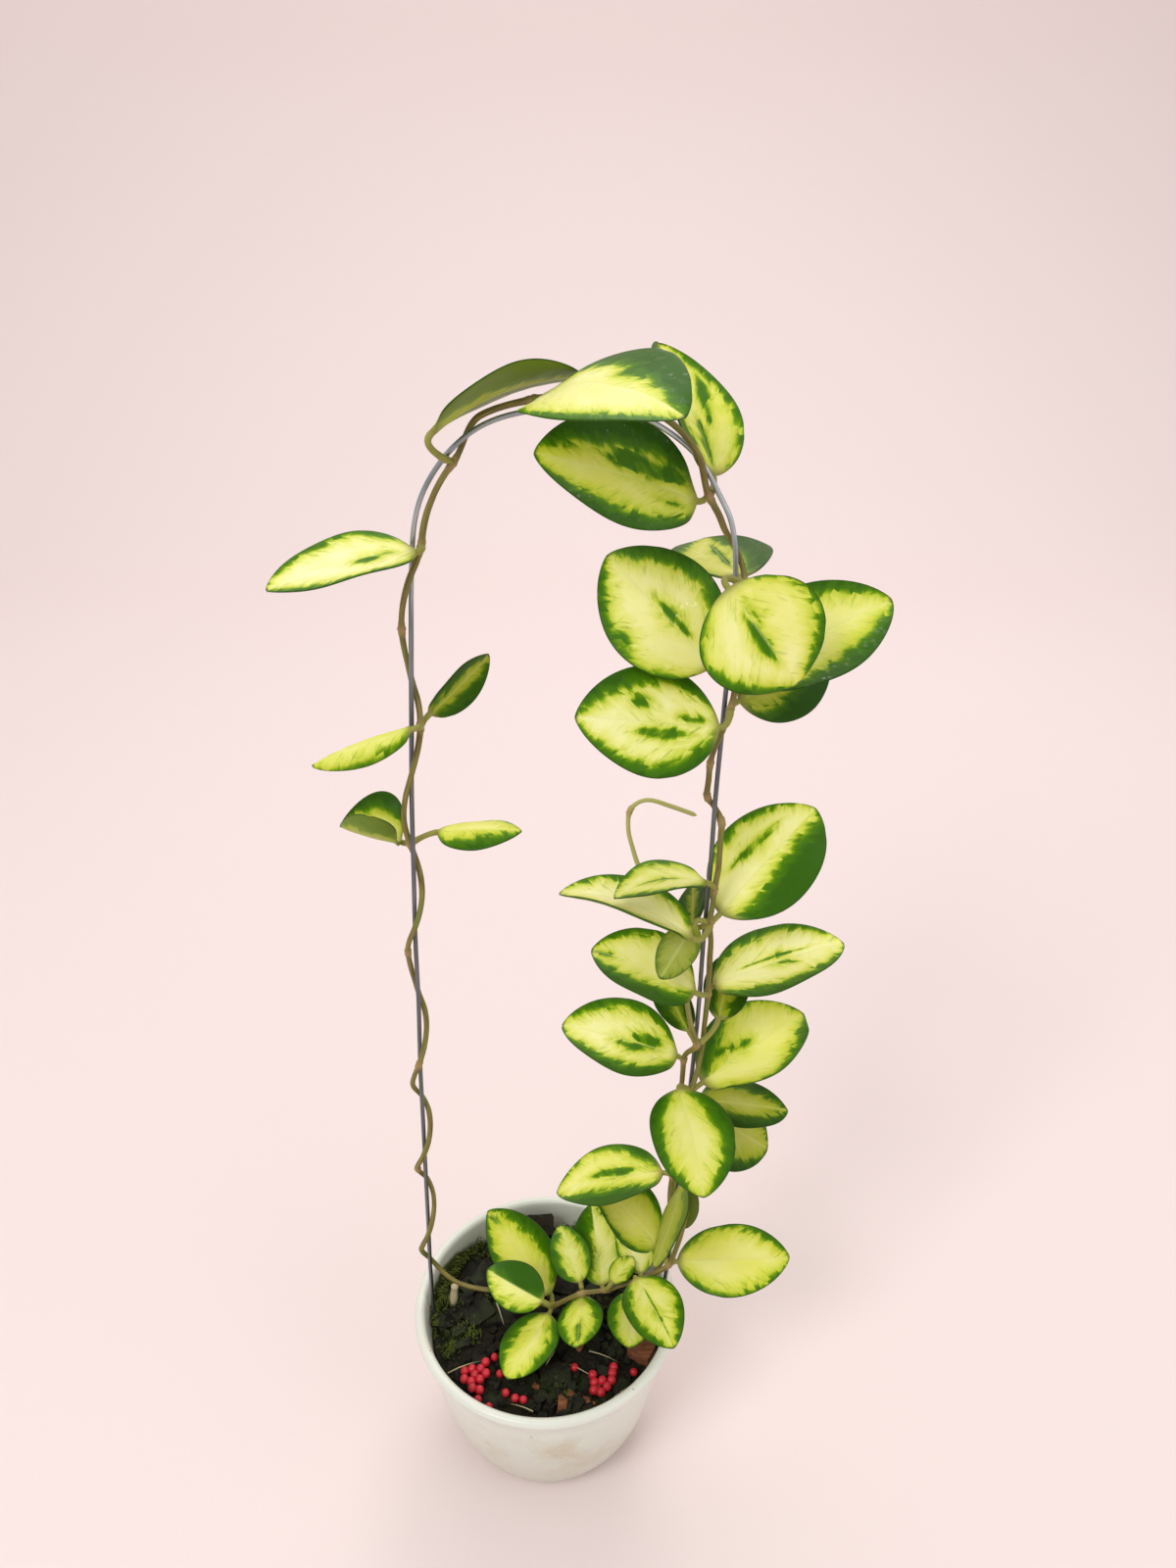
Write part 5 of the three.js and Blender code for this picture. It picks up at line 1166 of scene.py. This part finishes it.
# %% Dry stem
# Dry hoya stem, cut off: pale straw skin with dark splits along it, about 7 mm long.
straw, tree, shader = new_material("dry stem", Roughness=0.8)
along = add(tree, "Attribute", attribute_name="along", out="Vector")
split_place = add(tree, "VectorMath", along, (0.15, 1.8, 1), operation="MULTIPLY")
splits = add(tree, "TexNoise", {"Vector": split_place, "Scale": 1, "Detail": 4, "Roughness": 0.55})
colour = add(tree, "ValToRGB", splits, stops=[(0.3, "#8d7d52"), (0.5, "#cbbd93"), (0.8, "#e6dcbd")])
tree.links.new(colour, shader.inputs["Base Color"])
cracks = add(tree, "Bump", {"Height": splits, "Strength": 0.6, "Distance": 0.4 * MM})
tree.links.new(cracks, shader.inputs["Normal"])

STUB_POINTS = [(-37.5, 6, 46), (-37, 7.5, 55), (-36, 9, 64)]
STUB_RADIUS, STUB_SIDES, STUB_SIDE_WIDTH = 1.5, 16, 0.6
stub_curve = through(STUB_POINTS, np.linspace(0, 2, 60), centripetal=True)
stub_middles, stub_lengths, _ = even_steps(stub_curve, 0.6)
stub_radii = STUB_RADIUS * (1 - 0.12 * np.cos(stub_lengths / 1.3))
stub_rings = round_rings(stub_middles, stub_radii, STUB_SIDES, (0, 1, 0))
stub_along = rod_place(stub_lengths, np.arange(STUB_SIDES) * STUB_SIDE_WIDTH)
points, faces = skin(stub_rings)
finish_piece(add_mesh("dry_stub", points, faces, straw, along=with_ends(stub_along)), "dry_stem", "cut_stub")

# %% [markdown]
# ## Moss and litter
# Moss grows where the soil stays wet: in tufts along the inner wall and in the hollows. Each
# tuft is many thin spikes that lean every way, and on the wall mostly inwards. A hair system
# could grow them, but it wouldn't be a mesh, so the spikes are three-sided rods worked out all
# at once, from a seeded draw.

# %% Living moss
# Moss shoots, grown: soft, matt and deep green, with paler tips.
moss_green, tree, shader = new_material("living moss", Roughness=0.8, Subsurface_Weight=0.1,
                                        Subsurface_Scale=0.8 * MM)
height = add(tree, "Attribute", attribute_name="height", out="Fac")
place = add(tree, "TexCoord", out="Object")
low_cloud = add(tree, "TexNoise", {"Vector": place, "Scale": 180, "Detail": 3, "Roughness": 0.55})
top_cloud = add(tree, "TexNoise", {"Vector": place, "Scale": 120, "Detail": 3, "Roughness": 0.55})
fuzz = add(tree, "TexNoise", {"Vector": place, "Scale": 1500, "Detail": 3, "Roughness": 0.55})
dark_moss = add(tree, "Mix", {0: low_cloud, 6: "#1f2a08", 7: "#3b4a12"}, **BLEND)
light_moss = add(tree, "Mix", {0: top_cloud, 6: "#5f7418", 7: "#8a9a3a"}, **BLEND)
colour = add(tree, "Mix", {0: height, 6: dark_moss, 7: light_moss}, **BLEND)
tree.links.new(colour, shader.inputs["Base Color"])
nap = add(tree, "Bump", {"Height": fuzz, "Strength": 0.4, "Distance": 0.2 * MM})
tree.links.new(nap, shader.inputs["Normal"])


def spikes(name, roots, tips, radius, material):
    """Thin rods from roots to tips, bowed up: root + t (tip - root), and 0.3 t (1 - t) of the length up."""
    t = np.linspace(0, 1, 4)[None, :, None]
    way = tips - roots
    reach = np.linalg.norm(way, axis=1)[:, None, None]
    line = roots[:, None] + t * way[:, None] + 0.3 * t * (1 - t) * reach * np.array([0, 0, 1])
    side = unit(np.cross(way, [0.3, 0.5, 0.8]))[:, None, None]
    top = unit(np.cross(way[:, None, None], side))
    angle = (2 * np.pi * np.arange(3) / 3)[None, None, :, None]
    width = (np.broadcast_to(radius, len(roots))[:, None, None] * (1 - 0.85 * t))[:, :, None]
    rings = line[:, :, None] + width * (np.cos(angle) * side + np.sin(angle) * top)
    _, one = skin(rings[0])
    points = np.concatenate([rings.reshape(len(roots), -1, 3), rings[:, [0, -1]].mean(axis=2)], axis=1)
    faces = [[corner + i * points.shape[1] for corner in face] for i in range(len(roots)) for face in one]
    heights = np.concatenate([np.repeat(t.ravel(), 3), [0, 1]])
    return add_mesh(name, points.reshape(-1, 3), faces, material, height=np.tile(heights, len(roots)))


# Tufts on the soil are [x, y, looseness, shoots], and those on the wall are [degrees, shoots].
SOIL_TUFTS = [[-38, 8, 3.5, 120], [-30, -6, 4.5, 150], [-36, -12, 3, 90], [-22, 12, 3, 70], [12, 36, 4, 120],
              [24, 31, 4, 110], [-24, 30, 4, 110], [-6, -14, 4, 90], [6, -30, 4, 70], [20, 6, 4, 70]]
WALL_TUFTS = [[150, 110], [165, 120], [180, 110], [136, 80], [72, 80], [58, 70]]
SHOOT_LENGTH, SHOOT_THICKNESS = (1.2, 3.2), 0.28
random = np.random.default_rng(12)
roots, ways = [], []
for x, y, loose, count in SOIL_TUFTS:
    spot = np.array([x, y]) + loose * 0.6 * random.standard_normal((count, 2))
    spot *= np.minimum(1, (SOIL_EDGE - 1.5) / np.linalg.norm(spot, axis=1))[:, None]
    roots.append(np.column_stack([spot, soil_height(spot[:, 0], spot[:, 1]) - 0.2]))
    ways.append(unit(np.column_stack([0.5 * random.standard_normal((count, 2)), np.ones(count)])))
for degrees, count in WALL_TUFTS:
    turn = np.radians(degrees + 5 * random.standard_normal(count))
    rise = SOIL_LEVEL + np.abs(2.6 * random.standard_normal(count)).clip(0, 7)
    radius = SOIL_EDGE - 0.2 + 0.2 * (rise - SOIL_LEVEL)
    outward = np.column_stack([np.cos(turn), np.sin(turn)])
    roots.append(np.column_stack([outward * radius[:, None], rise]))
    lean = -outward * random.uniform(0.3, 1.2, (count, 1)) + 0.3 * random.standard_normal((count, 2))
    ways.append(unit(np.column_stack([lean, random.uniform(0.2, 1, count)])))
roots, ways = np.vstack(roots), np.vstack(ways)
tips = roots + ways * random.uniform(*SHOOT_LENGTH, (len(roots), 1))
finish_piece(spikes("moss_tufts", roots, tips, SHOOT_THICKNESS, moss_green), "leaf")

# %% Bits of husk and straw on the soil
CRUMBS = [(7, -35, 3.6), (16, -34, 3.2), (10, -31, 2.2), (-3, -27, 2.0), (20, -27, 2.6), (30, -9, 2.4),
          (-12, -20, 1.8), (13, -12, 2.0)]
random = np.random.default_rng(5)
crumb_parts = []
for x, y, size in CRUMBS:
    points, squares = rough_block(random, (size * 1.5, size, size * 0.7), 3, 0.18, 0.3)
    points = points @ turned(random.uniform(0, math.pi), 2).T
    crumb_parts.append((points + [x, y, soil_height(x, y) + 0.9], squares))
points, faces = joined(crumb_parts)
crumbs = add_mesh("husk_crumbs", points, faces, husk_fibre)
crumbs.data.set_sharp_from_angle(angle=math.radians(40))
finish_piece(crumbs, "husk")

# Each straw is [x, y, heading in degrees, length], and lies with its middle at x, y.
STRAW_RADIUS = 0.35
STRAWS = np.array([[-30, -20, 20, 13], [14, -22, -35, 15], [22, -16, -20, 12], [-8, -36, 160, 9],
                   [2, -16, 60, 10], [27, -31, 40, 9], [-18, 2, -70, 11]], float)
heading = np.radians(STRAWS[:, 2])
ends = [STRAWS[:, :2] + half * STRAWS[:, 3:] * np.column_stack([np.cos(heading), np.sin(heading)])
        for half in (-0.5, 0.5)]
lying = [np.column_stack([end, soil_height(end[:, 0], end[:, 1]) + 1.1]) for end in ends]
finish_piece(spikes("straw_bits", *lying, STRAW_RADIUS, straw), "dry_stem")
